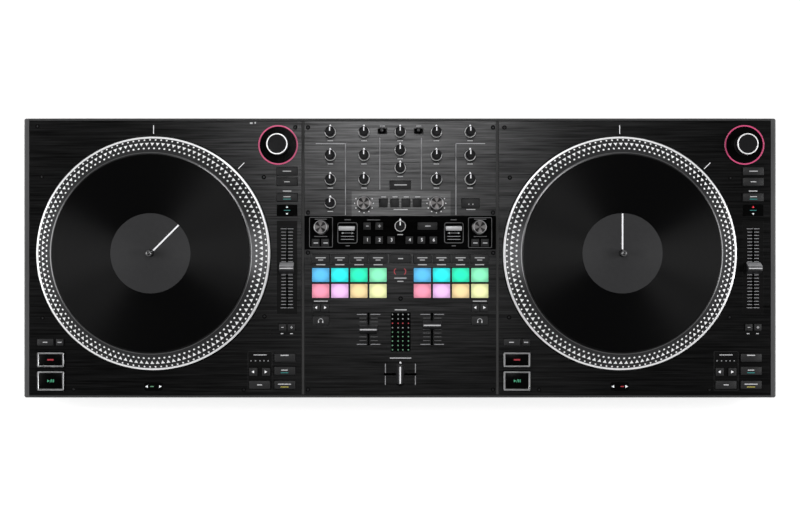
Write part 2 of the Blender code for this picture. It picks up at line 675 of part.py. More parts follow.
def make_board():
    width = CASE_WIDTH - 2 * (SIDE_WALL + BOARD_MARGIN)
    depth = CASE_DEPTH - 2 * (END_WALL + BOARD_MARGIN)
    bm = bmesh.new()
    add_block(bm, (0, 0, width, depth), BOARD_UNDER, BOARD_TOP)
    board = object_from(bm, "main_board")
    bm = bmesh.new()
    add_board_parts(bm)
    combine(board, cutter_from(bm, "board_parts"), "UNION")
    bm = bmesh.new()
    for place in post_places():
        add_cylinder(bm, place, POST_PIN_RADIUS + SHAFT_CLEARANCE, BOARD_UNDER - OVERRUN,
                     BOARD_TOP + OVERRUN, POST_SIDES)
    for platter_x in (LEFT_PLATTER_X, RIGHT_PLATTER_X):
        radius = MOTOR_RADIUS + MOTOR_FLANGE + BOARD_MARGIN
        add_cylinder(bm, (platter_x, PLATTER_Y), radius, BOARD_UNDER - OVERRUN, BOARD_TOP + OVERRUN, MOTOR_SIDES)
    for place in jack_places():
        add_bore(bm, place, JACK_BORE, JACK_BORE_DEPTH)
    add_bore(bm, power_socket_place(), POWER_BORE, DATA_PORT_DEPTH)
    x, y, z = socket_center(data_port_place())
    face = CASE_DEPTH / 2 - SOCKET_INSET
    add_box(bm, (x, face - (DATA_PORT_DEPTH - OVERRUN) / 2, z),
            (DATA_PORT_WIDTH, DATA_PORT_DEPTH + OVERRUN, DATA_PORT_HEIGHT))
    combine(board, cutter_from(bm, "board_cuts"), "DIFFERENCE")
    give_material(board, *BOARD_GREEN)


# Panels

def add_panel_hole(bm, rectangle):
    add_block(bm, rectangle, -PANEL_THICKNESS - OVERRUN, BROWSE_BEZEL_HEIGHT + OVERRUN, KEY_CLEARANCE)


def add_panel_bore(bm, place, radius, sides=KNOB_SIDES):
    add_cylinder(bm, place, radius, -PANEL_THICKNESS - OVERRUN, BROWSE_BEZEL_HEIGHT + OVERRUN, sides)


def make_deck_panel(side, platter_x, low_x, high_x):
    bm = bmesh.new()
    middle = (low_x + high_x) / 2
    plate = (middle - platter_x, -PLATTER_Y, high_x - low_x, PANEL_DEPTH)
    add_block(bm, plate, -PANEL_THICKNESS, 0)
    place = (platter_x, PLATTER_Y, PANEL_TOP)
    panel = object_from(bm, side + "_deck_panel", place)
    bm = bmesh.new()
    add_cylinder(bm, on_deck(BROWSE_SHARES), BROWSE_BEZEL_RADIUS, -OVERLAP, BROWSE_BEZEL_HEIGHT, BEZEL_SIDES)
    combine(panel, cutter_from(bm, side + "_browse_bezel", place), "UNION")
    bm = bmesh.new()
    add_panel_bore(bm, (0, 0), PLATTER_RADIUS + PLATTER_CLEARANCE, PLATTER_SIDES)
    add_panel_bore(bm, on_deck(BROWSE_SHARES), SHAFT_RADIUS + SHAFT_CLEARANCE)
    keys = deck_cluster_keys() + sync_keys()
    keys += [key_at(on_deck(CUE_KEY_SHARES), CUE_KEY), key_at(on_deck(PLAY_KEY_SHARES), PLAY_KEY)]
    for key in keys:
        add_panel_hole(bm, key)
    slot = (*tempo_place(), STEM_THICKNESS + 2 * STEM_CLEARANCE, slot_length(TEMPO_TRAVEL))
    add_block(bm, slot, -PANEL_THICKNESS - OVERRUN, OVERRUN)
    combine(panel, cutter_from(bm, side + "_deck_holes", place), "DIFFERENCE")
    give_material(panel, *BRUSHED_PANEL)


def make_mixer_panel():
    place = (MIXER_X, 0, PANEL_TOP)
    bm = bmesh.new()
    add_block(bm, (0, 0, MIXER_WIDTH, PANEL_DEPTH), -PANEL_THICKNESS, 0)
    panel = object_from(bm, "mixer_panel", place)
    bm = bmesh.new()
    for knob in list(knob_places().values()) + list(large_knob_places().values()):
        add_panel_bore(bm, knob, SHAFT_RADIUS + SHAFT_CLEARANCE)
    for key in centre_keys():
        add_panel_hole(bm, key)
    for side in (-1, 1):
        for key in mode_keys(side) + bank_keys(side) + pads(side):
            add_panel_hole(bm, key)
        add_block(bm, paddle_slot(side), -PANEL_THICKNESS - OVERRUN, OVERRUN)
        add_block(bm, switch_slot(side), -PANEL_THICKNESS - OVERRUN, OVERRUN)
    for slot in slots_on_mixer():
        add_block(bm, slot, -PANEL_THICKNESS - OVERRUN, OVERRUN)
    combine(panel, cutter_from(bm, "mixer_holes", place), "DIFFERENCE")
    give_material(panel, *BRUSHED_PANEL)


# Platters, records and motors

def make_platter(side, platter_x):
    spindle_tip = RECORD_BOTTOM + RECORD_THICKNESS + SPINDLE_HEIGHT
    rim_z = PANEL_TOP + RIM_HEIGHT
    skirt_foot = PANEL_TOP - SKIRT_DEPTH
    skirt_inside = PLATTER_RADIUS - SKIRT_WALL
    web_under = PLATTER_TOP - WEB_THICKNESS
    hub_foot = MOTOR_TOP + SEAT_GAP
    bore = MOTOR_SHAFT_RADIUS + SEAT_GAP
    bore_top = MOTOR_TOP + MOTOR_SHAFT_LENGTH + SEAT_GAP
    profile = [
        (0, spindle_tip),
        (SPINDLE_RADIUS - SPINDLE_CHAMFER, spindle_tip),
        (SPINDLE_RADIUS, spindle_tip - SPINDLE_CHAMFER),
        (SPINDLE_RADIUS, PLATTER_TOP),
        (PLATTER_TOP_RADIUS, PLATTER_TOP),
        (PLATTER_RADIUS - RIM_LAND, rim_z),
        (PLATTER_RADIUS, rim_z),
        (PLATTER_RADIUS, skirt_foot),
        (skirt_inside, skirt_foot),
        (skirt_inside, rim_z - RIM_HEIGHT),
        (PLATTER_TOP_RADIUS - WEB_THICKNESS, web_under),
        (HUB_RADIUS, web_under),
        (HUB_RADIUS, hub_foot),
        (bore, hub_foot),
        (bore, bore_top),
        (0, bore_top),
    ]
    low = [(radius, height - PANEL_TOP) for radius, height in profile]
    platter = turned(side + "_platter", low, PLATTER_SIDES, (platter_x, PLATTER_Y, PANEL_TOP))
    give_material(platter, *PLATTER_METAL)


def make_record(side, platter_x):
    hole = SPINDLE_RADIUS + RECORD_CLEARANCE
    top = RECORD_BOTTOM + RECORD_THICKNESS
    profile = [
        (hole, top + LABEL_RISE),
        (LABEL_RADIUS, top + LABEL_RISE),
        (LABEL_RADIUS + LABEL_RISE, top),
        (RECORD_RADIUS - RECORD_EDGE, top),
        (RECORD_RADIUS, top - RECORD_EDGE),
        (RECORD_RADIUS, RECORD_BOTTOM),
        (hole, RECORD_BOTTOM),
    ]
    low = [(radius, height - PANEL_TOP) for radius, height in profile]
    record = turned(side + "_record", low, PLATTER_SIDES, (platter_x, PLATTER_Y, PANEL_TOP), closed=True)
    give_material(record, *RECORD_VINYL)


def make_motor(side, platter_x):
    foot = FLOOR_TOP + SEAT_GAP
    shaft_top = MOTOR_TOP + MOTOR_SHAFT_LENGTH
    profile = [
        (0, shaft_top),
        (MOTOR_SHAFT_RADIUS, shaft_top),
        (MOTOR_SHAFT_RADIUS, MOTOR_TOP),
        (MOTOR_RADIUS, MOTOR_TOP),
        (MOTOR_RADIUS, foot + MOTOR_FLANGE_THICKNESS),
        (MOTOR_RADIUS + MOTOR_FLANGE, foot + MOTOR_FLANGE_THICKNESS),
        (MOTOR_RADIUS + MOTOR_FLANGE, foot),
        (0, foot),
    ]
    motor = turned(side + "_motor", profile, MOTOR_SIDES, (platter_x, PLATTER_Y, 0))
    give_material(motor, *MOTOR_METAL)


# Knobs, switches and paddles

def make_knob(name, place, radii, height, sides, base, finish):
    skirt, cap = radii
    shaft_foot = POT_TOP + SEAT_GAP - PANEL_TOP
    profile = [
        (0, base + height),
        (cap * KNOB_TAPER_SHARE, base + height),
        (cap, base + KNOB_SKIRT_HEIGHT),
        (skirt, base + KNOB_SKIRT_HEIGHT),
        (skirt, base),
        (SHAFT_RADIUS, base),
        (SHAFT_RADIUS, shaft_foot),
        (0, shaft_foot),
    ]
    knob = turned(name, profile, sides, (*place, PANEL_TOP))
    give_material(knob, *finish)


def make_knobs():
    for name, (x, y) in knob_places().items():
        make_knob(name, (MIXER_X + x, y), (KNOB_SKIRT_RADIUS, KNOB_CAP_RADIUS), KNOB_HEIGHT,
                  KNOB_SIDES, RUNNING_GAP, KNOB_BLACK)
    for name, (x, y) in large_knob_places().items():
        make_knob(name, (MIXER_X + x, y), (FILTER_SKIRT_RADIUS, FILTER_CAP_RADIUS), FILTER_HEIGHT,
                  FOOT_SIDES, RUNNING_GAP, KNOB_CHROME)
    for side, platter_x in (("left", LEFT_PLATTER_X), ("right", RIGHT_PLATTER_X)):
        x, y = on_deck(BROWSE_SHARES)
        make_knob(side + "_browse_encoder", (platter_x + x, PLATTER_Y + y), (BROWSE_RADIUS, BROWSE_CAP_RADIUS),
                  BROWSE_HEIGHT, BROWSE_SIDES, BROWSE_BEZEL_HEIGHT + RUNNING_GAP, KNOB_BLACK)


def make_switch(side, sign):
    x, y = on_mixer(SWITCH_SHARES, sign)
    top = PANEL_THICKNESS + SWITCH_PIVOT_DEPTH + SWITCH_HEIGHT
    neck_angle = math.asin(SWITCH_NECK_RADIUS / SWITCH_BALL_RADIUS)
    angles = [neck_angle + (math.pi - neck_angle) * step / BALL_STEPS for step in range(BALL_STEPS + 1)]
    ball = [(SWITCH_BALL_RADIUS * math.sin(angle), SWITCH_BALL_RADIUS * math.cos(angle)) for angle in angles]
    ball[-1] = (0, -SWITCH_BALL_RADIUS)
    profile = [(0, top), (SWITCH_TIP_RADIUS, top - SWITCH_TIP_RADIUS)] + ball
    pivot = (MIXER_X + x, y, PANEL_UNDER - SWITCH_PIVOT_DEPTH)
    switch = turned(side + "_mini_switch", profile, KNOB_SIDES, pivot)
    give_material(switch, *KNOB_CHROME)


def make_paddle(side, sign):
    x, y = on_mixer(PADDLE_SHARES, sign)
    pivot = (MIXER_X + x, y, PANEL_UNDER - PADDLE_PIVOT_DEPTH)
    top = PANEL_THICKNESS + PADDLE_PIVOT_DEPTH + PADDLE_HEIGHT
    bm = bmesh.new()
    add_block(bm, (0, 0, PADDLE_WIDTH, PADDLE_THICKNESS), 0, top)
    paddle = object_from(bm, side + "_effect_paddle", pivot)
    bm = bmesh.new()
    turn = Matrix.Rotation(math.radians(90), 4, "Y")
    barrel = PADDLE_WIDTH - KEY_CLEARANCE
    bmesh.ops.create_cone(bm, cap_ends=True, segments=KNOB_SIDES, radius1=PADDLE_BARREL_RADIUS,
                          radius2=PADDLE_BARREL_RADIUS, depth=barrel, matrix=turn)
    lip = (0, -PADDLE_LIP / 2, barrel, PADDLE_THICKNESS + PADDLE_LIP)
    add_block(bm, lip, top - PADDLE_LIP_HEIGHT, top + OVERLAP)
    combine(paddle, cutter_from(bm, side + "_paddle_barrel_and_lip", pivot), "UNION")
    give_material(paddle, *PADDLE_METAL)


# Faders

def make_fader(name, place, cap, along_x):
    # The cap is a ridge across the travel, on a flat stem that runs in the slot
    across, along = cap
    size = (along, across) if along_x else (across, along)
    stem = (STEM_LENGTH, STEM_THICKNESS) if along_x else (STEM_THICKNESS, STEM_LENGTH)
    axis = 0 if along_x else 1
    bm = bmesh.new()
    middle = FADER_CAP_GAP + FADER_CAP_HEIGHT / 2
    for vert in add_box(bm, (0, 0, middle), (*size, FADER_CAP_HEIGHT)):
        if vert.co.z > middle:
            vert.co[axis] *= FADER_RIDGE_SHARE
    fader = object_from(bm, name, place)
    bm = bmesh.new()
    stem_foot = TRACK_TOP + SEAT_GAP - PANEL_TOP
    add_block(bm, (0, 0, *stem), stem_foot, FADER_CAP_GAP + OVERLAP)
    combine(fader, cutter_from(bm, name + "_stem", place), "UNION")
    give_material(fader, *FADER_BLACK)


def make_faders():
    for side, platter_x in (("left", LEFT_PLATTER_X), ("right", RIGHT_PLATTER_X)):
        x, y = tempo_place()
        make_fader(side + "_tempo_fader", (platter_x + x, PLATTER_Y + y, PANEL_TOP), TEMPO_CAP, False)
    x, y = channel_fader_place(-1)
    make_fader("left_channel_fader", (MIXER_X + x, y, PANEL_TOP), CHANNEL_CAP, False)
    x, y = channel_fader_place(1)
    make_fader("right_channel_fader", (MIXER_X + x, y + RIGHT_CHANNEL_OFFSET, PANEL_TOP), CHANNEL_CAP, False)
    x, y = on_mixer((0, CROSSFADER_SHARE))
    make_fader("crossfader", (MIXER_X + x, y, PANEL_TOP), CROSSFADER_CAP, True)


# Keys and pads: each group is moulded on a thin carrier that lies under the panel

def make_keys(name, outline, keys, rise, place, finish, thickness=CARRIER_THICKNESS):
    top = CARRIER_TOP - PANEL_TOP
    group = flat_plate(name, outline, top - thickness, top, place)
    bm = bmesh.new()
    for key in keys:
        add_block(bm, key, top - thickness / 2, rise)
    combine(group, cutter_from(bm, name + "_caps", place), "UNION")
    give_material(group, *finish)


def rectangle_outline(keys, margin):
    west = reach(keys, 0, -1, margin)
    east = reach(keys, 0, 1, margin)
    south = reach(keys, 1, -1, margin)
    north = reach(keys, 1, 1, margin)
    return [(west, south), (east, south), (east, north), (west, north)]


def cluster_outline():
    keys = deck_cluster_keys()
    loop, pitch, slip = keys[:3], keys[3:5], keys[8:]
    front_left = keys[5:8]
    west = reach(loop, 0, -1, KEY_FLANGE)
    east = max(reach(loop, 0, 1, KEY_FLANGE), reach(slip, 0, 1, KEY_FLANGE))
    arm_east = west + CARRIER_ARM
    south = min(reach(slip, 1, -1, KEY_FLANGE), reach(front_left, 1, -1, KEY_FLANGE))
    wing_west = reach(front_left, 0, -1, KEY_FLANGE)
    wing_north = reach(front_left, 1, 1, KEY_FLANGE)
    upper_south = reach(loop, 1, -1, KEY_FLANGE)
    lower_north = reach(pitch, 1, 1, KEY_FLANGE)
    north = reach(loop, 1, 1, KEY_FLANGE)
    return [(west, north), (east, north), (east, upper_south), (arm_east, upper_south),
            (arm_east, lower_north), (east, lower_north), (east, south), (wing_west, south),
            (wing_west, wing_north), (west, wing_north)]


def bank_outline(side):
    modes = mode_keys(1)
    banks = bank_keys(1)
    mat = pads(1)
    inner = reach(modes, 0, -1, KEY_FLANGE)
    outer = reach(modes, 0, 1, KEY_FLANGE)
    arm_inner = reach(mat, 0, 1, KEY_FLANGE) + ARM_CLEARANCE
    arm_outer = max(outer, arm_inner + CARRIER_ARM)
    bank_inner = reach(banks, 0, -1, KEY_FLANGE)
    north = reach(modes, 1, 1, KEY_FLANGE)
    modes_south = reach(modes, 1, -1, KEY_FLANGE / 2)
    banks_north = reach(banks, 1, 1, KEY_FLANGE)
    south = reach(banks, 1, -1, KEY_FLANGE)
    points = [(inner, north), (arm_outer, north), (arm_outer, south), (bank_inner, south),
              (bank_inner, banks_north), (arm_inner, banks_north), (arm_inner, modes_south), (inner, modes_south)]
    return [(side * x, y) for x, y in points]


def centre_outline():
    upper = effect_keys() + [top_key()]
    middle = number_keys()
    ends = end_keys()
    half_upper = reach(upper, 0, 1, KEY_FLANGE)
    half_middle = max(reach(middle, 0, 1, KEY_FLANGE), -reach(middle, 0, -1, KEY_FLANGE))
    half_ends = reach(ends, 0, 1, KEY_FLANGE)
    half_view = reach([view_key()], 0, 1, KEY_FLANGE)
    # An open notch leaves room for the shaft between the upper keys, with the neck on its right
    row, step_keys, shift = middle[:6], middle[6:8], middle[8:]
    notch_west = reach(step_keys, 0, 1, KEY_FLANGE)
    notch_south = reach(row, 1, 1, KEY_FLANGE)
    neck_west = reach(shift, 0, -1, KEY_FLANGE)
    neck_east = neck_west + CARRIER_ARM
    north = reach(upper, 1, 1, KEY_FLANGE)
    upper_south = reach(upper, 1, -1, KEY_FLANGE)
    middle_north = reach(middle, 1, 1, KEY_FLANGE)
    ends_north = reach(ends, 1, 1, KEY_FLANGE)
    ends_south = reach(ends, 1, -1, KEY_FLANGE)
    view_south = reach([view_key()], 1, -1, KEY_FLANGE)
    side_west = reach([side_key()], 0, -1, KEY_FLANGE)
    side_east = reach([side_key()], 0, 1, KEY_FLANGE)
    side_south = reach([side_key()], 1, -1, KEY_FLANGE)
    arm_south = PANEL_DEPTH * FILTER_ROW_SHARE + SHAFT_RADIUS + ARM_CLEARANCE
    arm_north = arm_south + CARRIER_ARM
    right = [(half_upper, north), (half_upper, arm_north), (side_east, arm_north), (side_east, side_south),
             (side_west, side_south), (side_west, arm_south), (half_upper, arm_south),
             (half_upper, upper_south), (neck_east, upper_south), (neck_east, middle_north),
             (half_middle, middle_north), (half_middle, ends_north), (half_ends, ends_north),
             (half_ends, ends_south), (half_view, ends_south), (half_view, view_south)]
    left = [(-half_view, view_south), (-half_view, ends_south), (-half_ends, ends_south),
            (-half_ends, ends_north), (-half_middle, ends_north), (-half_middle, middle_north),
            (notch_west, middle_north), (notch_west, notch_south), (neck_west, notch_south),
            (neck_west, upper_south), (-half_upper, upper_south), (-half_upper, north)]
    return right + left


def make_deck_keys(side, platter_x):
    place = (platter_x, PLATTER_Y, PANEL_TOP)
    make_keys(side + "_deck_keys", cluster_outline(), deck_cluster_keys(), KEY_RISE, place, KEY_BLACK)
    sync = sync_keys()
    make_keys(side + "_sync_keys", rectangle_outline(sync, KEY_FLANGE), sync, KEY_RISE, place, KEY_BLACK)
    for name, shares, size in (("_cue_key", CUE_KEY_SHARES, CUE_KEY), ("_play_key", PLAY_KEY_SHARES, PLAY_KEY)):
        x, y = on_deck(shares)
        key = [(0, 0, *size)]
        spot = (platter_x + x, PLATTER_Y + y, PANEL_TOP)
        make_keys(side + name, rectangle_outline(key, KEY_FLANGE), key, KEY_RISE, spot, KEY_BLACK)


def make_mixer_keys():
    place = (MIXER_X, 0, PANEL_TOP)
    for side, sign in (("left", -1), ("right", 1)):
        bank = mode_keys(sign) + bank_keys(sign)
        make_keys(side + "_mixer_keys", bank_outline(sign), bank, KEY_RISE, place, KEY_BLACK)
        mat = pads(sign)
        make_keys(side + "_pad_mat", rectangle_outline(mat, KEY_FLANGE), mat, PAD_RISE, place, PAD_SILICONE)
    make_keys("centre_mixer_keys", centre_outline(), centre_keys(), KEY_RISE, place, KEY_BLACK)


# Assembly

make_case()
make_feet()
make_board()
make_deck_panel("left", LEFT_PLATTER_X, LEFT_EDGE, LEFT_EDGE + LEFT_DECK_WIDTH)
make_deck_panel("right", RIGHT_PLATTER_X, RIGHT_EDGE - RIGHT_DECK_WIDTH, RIGHT_EDGE)
make_mixer_panel()
for deck_side, deck_x in (("left", LEFT_PLATTER_X), ("right", RIGHT_PLATTER_X)):
    make_motor(deck_side, deck_x)
    make_platter(deck_side, deck_x)
    make_record(deck_side, deck_x)
    make_deck_keys(deck_side, deck_x)
make_mixer_keys()
make_knobs()
make_faders()
for switch_side, switch_sign in (("left", -1), ("right", 1)):
    make_switch(switch_side, switch_sign)
    make_paddle(switch_side, switch_sign)
bpy.context.view_layer.update()
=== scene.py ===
import json
import math

import bmesh
import bpy
from mathutils import Matrix, Vector


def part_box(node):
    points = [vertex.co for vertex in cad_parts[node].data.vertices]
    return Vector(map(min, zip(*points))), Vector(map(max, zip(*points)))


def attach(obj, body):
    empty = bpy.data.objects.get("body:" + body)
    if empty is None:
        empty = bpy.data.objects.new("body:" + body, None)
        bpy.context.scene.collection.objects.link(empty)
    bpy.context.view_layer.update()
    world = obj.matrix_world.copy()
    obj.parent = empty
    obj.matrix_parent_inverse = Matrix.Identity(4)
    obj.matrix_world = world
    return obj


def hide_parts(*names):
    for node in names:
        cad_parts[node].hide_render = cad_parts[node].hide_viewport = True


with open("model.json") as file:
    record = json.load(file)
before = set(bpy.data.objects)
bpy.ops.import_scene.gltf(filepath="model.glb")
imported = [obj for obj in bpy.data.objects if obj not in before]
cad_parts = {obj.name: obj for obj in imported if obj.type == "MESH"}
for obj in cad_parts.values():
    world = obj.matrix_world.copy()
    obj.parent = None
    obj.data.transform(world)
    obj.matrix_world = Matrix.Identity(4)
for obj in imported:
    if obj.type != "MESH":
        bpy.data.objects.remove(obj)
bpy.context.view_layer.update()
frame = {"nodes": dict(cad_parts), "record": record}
scene = bpy.context.scene
mm = 0.001

# A place read off the photograph, in its pixels, lands on the panels through these
photo = {"pixel": 0.9314 * mm, "middleColumn": 400.0, "middleRow": 258.2}
pixel = photo["pixel"]

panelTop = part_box("mixer_panel")[1].z
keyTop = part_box("left_play_key")[1].z
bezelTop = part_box("left_deck_panel")[1].z
decks = ("left", "right")


def middleOf(node):
    low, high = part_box(node)
    return (low + high) / 2


def onPanel(column, row):
    return (column - photo["middleColumn"]) * pixel, (photo["middleRow"] - row) * pixel


def onDeck(side, across, up):
    centre = middleOf(side + "_platter")
    return centre.x + across * pixel, centre.y + up * pixel


# Camera: straight above the middle, as the photograph was taken
camera = {"height": 1.5503, "lens": 72.5, "sensor": 36.0}


def makeCamera():
    data = bpy.data.cameras.new("camera")
    data.lens = camera["lens"]
    data.sensor_width = camera["sensor"]
    data.clip_start = 0.05
    eye = bpy.data.objects.new("camera", data)
    eye.location = (0, 0, camera["height"])
    scene.collection.objects.link(eye)
    scene.camera = eye


makeCamera()
scene.view_settings.view_transform = "Standard"
print("camera made")


# Small helpers for node trees

def addNode(tree, kind, inputs=None, **settings):
    node = tree.nodes.new(kind)
    for key, value in settings.items():
        setattr(node, key, value)
    for key, value in (inputs or {}).items():
        node.inputs[key].default_value = value
    return node


def join(tree, source, target):
    tree.links.new(source, target)


def calculate(tree, operation, first, second=None, third=None):
    node = addNode(tree, "ShaderNodeMath", operation=operation)
    for socket, value in zip(node.inputs, (first, second, third)):
        if value is None:
            continue
        if isinstance(value, (int, float)):
            socket.default_value = value
        else:
            join(tree, value, socket)
    return node.outputs[0]


def startGroup(name, inputs, outputs):
    tree = bpy.data.node_groups.new(name, "ShaderNodeTree")
    for label, kind, value in inputs:
        socket = tree.interface.new_socket(label, in_out="INPUT", socket_type=kind)
        socket.default_value = value
    for label, kind in outputs:
        tree.interface.new_socket(label, in_out="OUTPUT", socket_type=kind)
    return tree, addNode(tree, "NodeGroupInput"), addNode(tree, "NodeGroupOutput")


def placeGroup(tree, group, values=None, links=None):
    node = addNode(tree, "ShaderNodeGroup", node_tree=group)
    for key, value in (values or {}).items():
        node.inputs[key].default_value = value
    for key, source in (links or {}).items():
        join(tree, source, node.inputs[key])
    return node


# Shader groups that several finishes share

def makeBrushing():
    tree, inside, outside = startGroup("brushing", [
        ("Vector", "NodeSocketVector", (0, 0, 0)), ("Along", "NodeSocketFloat", 12.0),
        ("Across", "NodeSocketFloat", 1400.0), ("Contrast", "NodeSocketFloat", 0.2)],
        [("Shade", "NodeSocketFloat"), ("Height", "NodeSocketFloat")])
    scale = addNode(tree, "ShaderNodeCombineXYZ")
    join(tree, inside.outputs["Along"], scale.inputs[0])
    join(tree, inside.outputs["Across"], scale.inputs[1])
    join(tree, inside.outputs["Across"], scale.inputs[2])
    stretched = addNode(tree, "ShaderNodeVectorMath", operation="MULTIPLY")
    join(tree, inside.outputs["Vector"], stretched.inputs[0])
    join(tree, scale.outputs[0], stretched.inputs[1])
    noise = addNode(tree, "ShaderNodeTexNoise", {"Scale": 1.0, "Detail": 5.0, "Roughness": 0.6})
    join(tree, stretched.outputs[0], noise.inputs["Vector"])
    offset = calculate(tree, "SUBTRACT", noise.outputs["Fac"], 0.5)
    swing = calculate(tree, "MULTIPLY", offset, inside.outputs["Contrast"])
    join(tree, calculate(tree, "ADD", swing, 1.0), outside.inputs["Shade"])
    join(tree, noise.outputs["Fac"], outside.inputs["Height"])
    return tree


def makeGrain():
    tree, inside, outside = startGroup("mouldedGrain", [
        ("Vector", "NodeSocketVector", (0, 0, 0)), ("Scale", "NodeSocketFloat", 900.0),
        ("Contrast", "NodeSocketFloat", 0.2)],
        [("Shade", "NodeSocketFloat"), ("Height", "NodeSocketFloat")])
    fine = addNode(tree, "ShaderNodeTexNoise", {"Detail": 4.0, "Roughness": 0.65})
    join(tree, inside.outputs["Vector"], fine.inputs["Vector"])
    join(tree, inside.outputs["Scale"], fine.inputs["Scale"])
    broad = addNode(tree, "ShaderNodeTexNoise", {"Detail": 2.0})
    join(tree, inside.outputs["Vector"], broad.inputs["Vector"])
    join(tree, calculate(tree, "MULTIPLY", inside.outputs["Scale"], 0.04), broad.inputs["Scale"])
    both = calculate(tree, "ADD", fine.outputs["Fac"], broad.outputs["Fac"])
    swing = calculate(tree, "MULTIPLY", calculate(tree, "SUBTRACT", both, 1.0), inside.outputs["Contrast"])
    join(tree, calculate(tree, "ADD", swing, 1.0), outside.inputs["Shade"])
    join(tree, fine.outputs["Fac"], outside.inputs["Height"])
    return tree


def makeTurning():
    # Rings of a lathe cut: the vector is already centred on the axis
    tree, inside, outside = startGroup("turning", [
        ("Vector", "NodeSocketVector", (0, 0, 0)), ("Rings", "NodeSocketFloat", 2200.0),
        ("Contrast", "NodeSocketFloat", 0.15)],
        [("Radius", "NodeSocketFloat"), ("Shade", "NodeSocketFloat"), ("Height", "NodeSocketFloat")])
    parts = addNode(tree, "ShaderNodeSeparateXYZ")
    join(tree, inside.outputs["Vector"], parts.inputs[0])
    squareX = calculate(tree, "MULTIPLY", parts.outputs[0], parts.outputs[0])
    squareY = calculate(tree, "MULTIPLY", parts.outputs[1], parts.outputs[1])
    radius = calculate(tree, "SQRT", calculate(tree, "ADD", squareX, squareY))
    rings = addNode(tree, "ShaderNodeTexNoise", {"Scale": 1.0, "Detail": 3.0}, noise_dimensions="1D")
    join(tree, calculate(tree, "MULTIPLY", radius, inside.outputs["Rings"]), rings.inputs["W"])
    swing = calculate(tree, "MULTIPLY", calculate(tree, "SUBTRACT", rings.outputs["Fac"], 0.5),
                      inside.outputs["Contrast"])
    join(tree, radius, outside.inputs["Radius"])
    join(tree, calculate(tree, "ADD", swing, 1.0), outside.inputs["Shade"])
    join(tree, rings.outputs["Fac"], outside.inputs["Height"])
    return tree


def makeSmudges():
    # Hands leave a part a little shinier here and duller there
    tree, inside, outside = startGroup("smudges", [
        ("Vector", "NodeSocketVector", (0, 0, 0)), ("Scale", "NodeSocketFloat", 30.0),
        ("Low", "NodeSocketFloat", 0.3), ("High", "NodeSocketFloat", 0.5)],
        [("Roughness", "NodeSocketFloat")])
    cloud = addNode(tree, "ShaderNodeTexNoise", {"Detail": 6.0, "Roughness": 0.6, "Distortion": 0.4})
    join(tree, inside.outputs["Vector"], cloud.inputs["Vector"])
    join(tree, inside.outputs["Scale"], cloud.inputs["Scale"])
    spread = addNode(tree, "ShaderNodeMapRange", {"From Min": 0.3, "From Max": 0.7})
    join(tree, cloud.outputs["Fac"], spread.inputs["Value"])
    join(tree, inside.outputs["Low"], spread.inputs["To Min"])
    join(tree, inside.outputs["High"], spread.inputs["To Max"])
    join(tree, spread.outputs["Result"], outside.inputs["Roughness"])
    return tree


def makeZone():
    # One inside a rectangle, nought outside
    tree, inside, outside = startGroup("zone", [
        ("Vector", "NodeSocketVector", (0, 0, 0)), ("Middle", "NodeSocketVector", (0, 0, 0)),
        ("Half", "NodeSocketVector", (0, 0, 0)), ("Edge", "NodeSocketFloat", 0.0002)],
        [("Mask", "NodeSocketFloat")])
    offset = addNode(tree, "ShaderNodeVectorMath", operation="SUBTRACT")
    join(tree, inside.outputs["Vector"], offset.inputs[0])
    join(tree, inside.outputs["Middle"], offset.inputs[1])
    size = addNode(tree, "ShaderNodeVectorMath", operation="ABSOLUTE")
    join(tree, offset.outputs[0], size.inputs[0])
    over = addNode(tree, "ShaderNodeVectorMath", operation="SUBTRACT")
    join(tree, size.outputs[0], over.inputs[0])
    join(tree, inside.outputs["Half"], over.inputs[1])
    parts = addNode(tree, "ShaderNodeSeparateXYZ")
    join(tree, over.outputs[0], parts.inputs[0])
    outer = calculate(tree, "MAXIMUM", parts.outputs[0], parts.outputs[1])
    soft = calculate(tree, "DIVIDE", outer, inside.outputs["Edge"])
    mask = addNode(tree, "ShaderNodeClamp")
    join(tree, calculate(tree, "SUBTRACT", 0.5, soft), mask.inputs[0])
    join(tree, mask.outputs[0], outside.inputs["Mask"])
    return tree


brushing = makeBrushing()
grain = makeGrain()
turning = makeTurning()
smudges = makeSmudges()
zone = makeZone()
print("shader groups made")


# Finishes

def startMaterial(name, centre=None):
    material = bpy.data.materials.new(name)
    material.use_nodes = True
    tree = material.node_tree
    shader = tree.nodes["Principled BSDF"]
    place = addNode(tree, "ShaderNodeTexCoord").outputs["Object"]
    if centre is not None:
        mapping = addNode(tree, "ShaderNodeMapping", {"Location": (-centre[0], -centre[1], 0)})
        join(tree, place, mapping.inputs["Vector"])
        place = mapping.outputs["Vector"]
    return material, tree, shader, place


def tinted(tree, color, shade):
    # A colour times a shade near one
    mix = addNode(tree, "ShaderNodeMix", {"Factor": 1.0}, data_type="RGBA", blend_type="MULTIPLY")
    if isinstance(color, tuple):
        mix.inputs[6].default_value = (*color, 1)
    else:
        join(tree, color, mix.inputs[6])
    join(tree, shade, mix.inputs[7])
    return mix.outputs[2]


def mixed(tree, mask, first, second):
    # Colours where both are tuples or colour sockets, plain numbers else
    number = isinstance(first, (int, float)) or getattr(first, "type", "") == "VALUE"
    mix = addNode(tree, "ShaderNodeMix", data_type="FLOAT" if number else "RGBA")
    join(tree, mask, mix.inputs["Factor"])
    slots = (2, 3) if number else (6, 7)
    for slot, value in zip(slots, (first, second)):
        if isinstance(value, tuple):
            mix.inputs[slot].default_value = (*value, 1)
        elif isinstance(value, (int, float)):
            mix.inputs[slot].default_value = value
        else:
            join(tree, value, mix.inputs[slot])
    return mix.outputs[0 if number else 2]


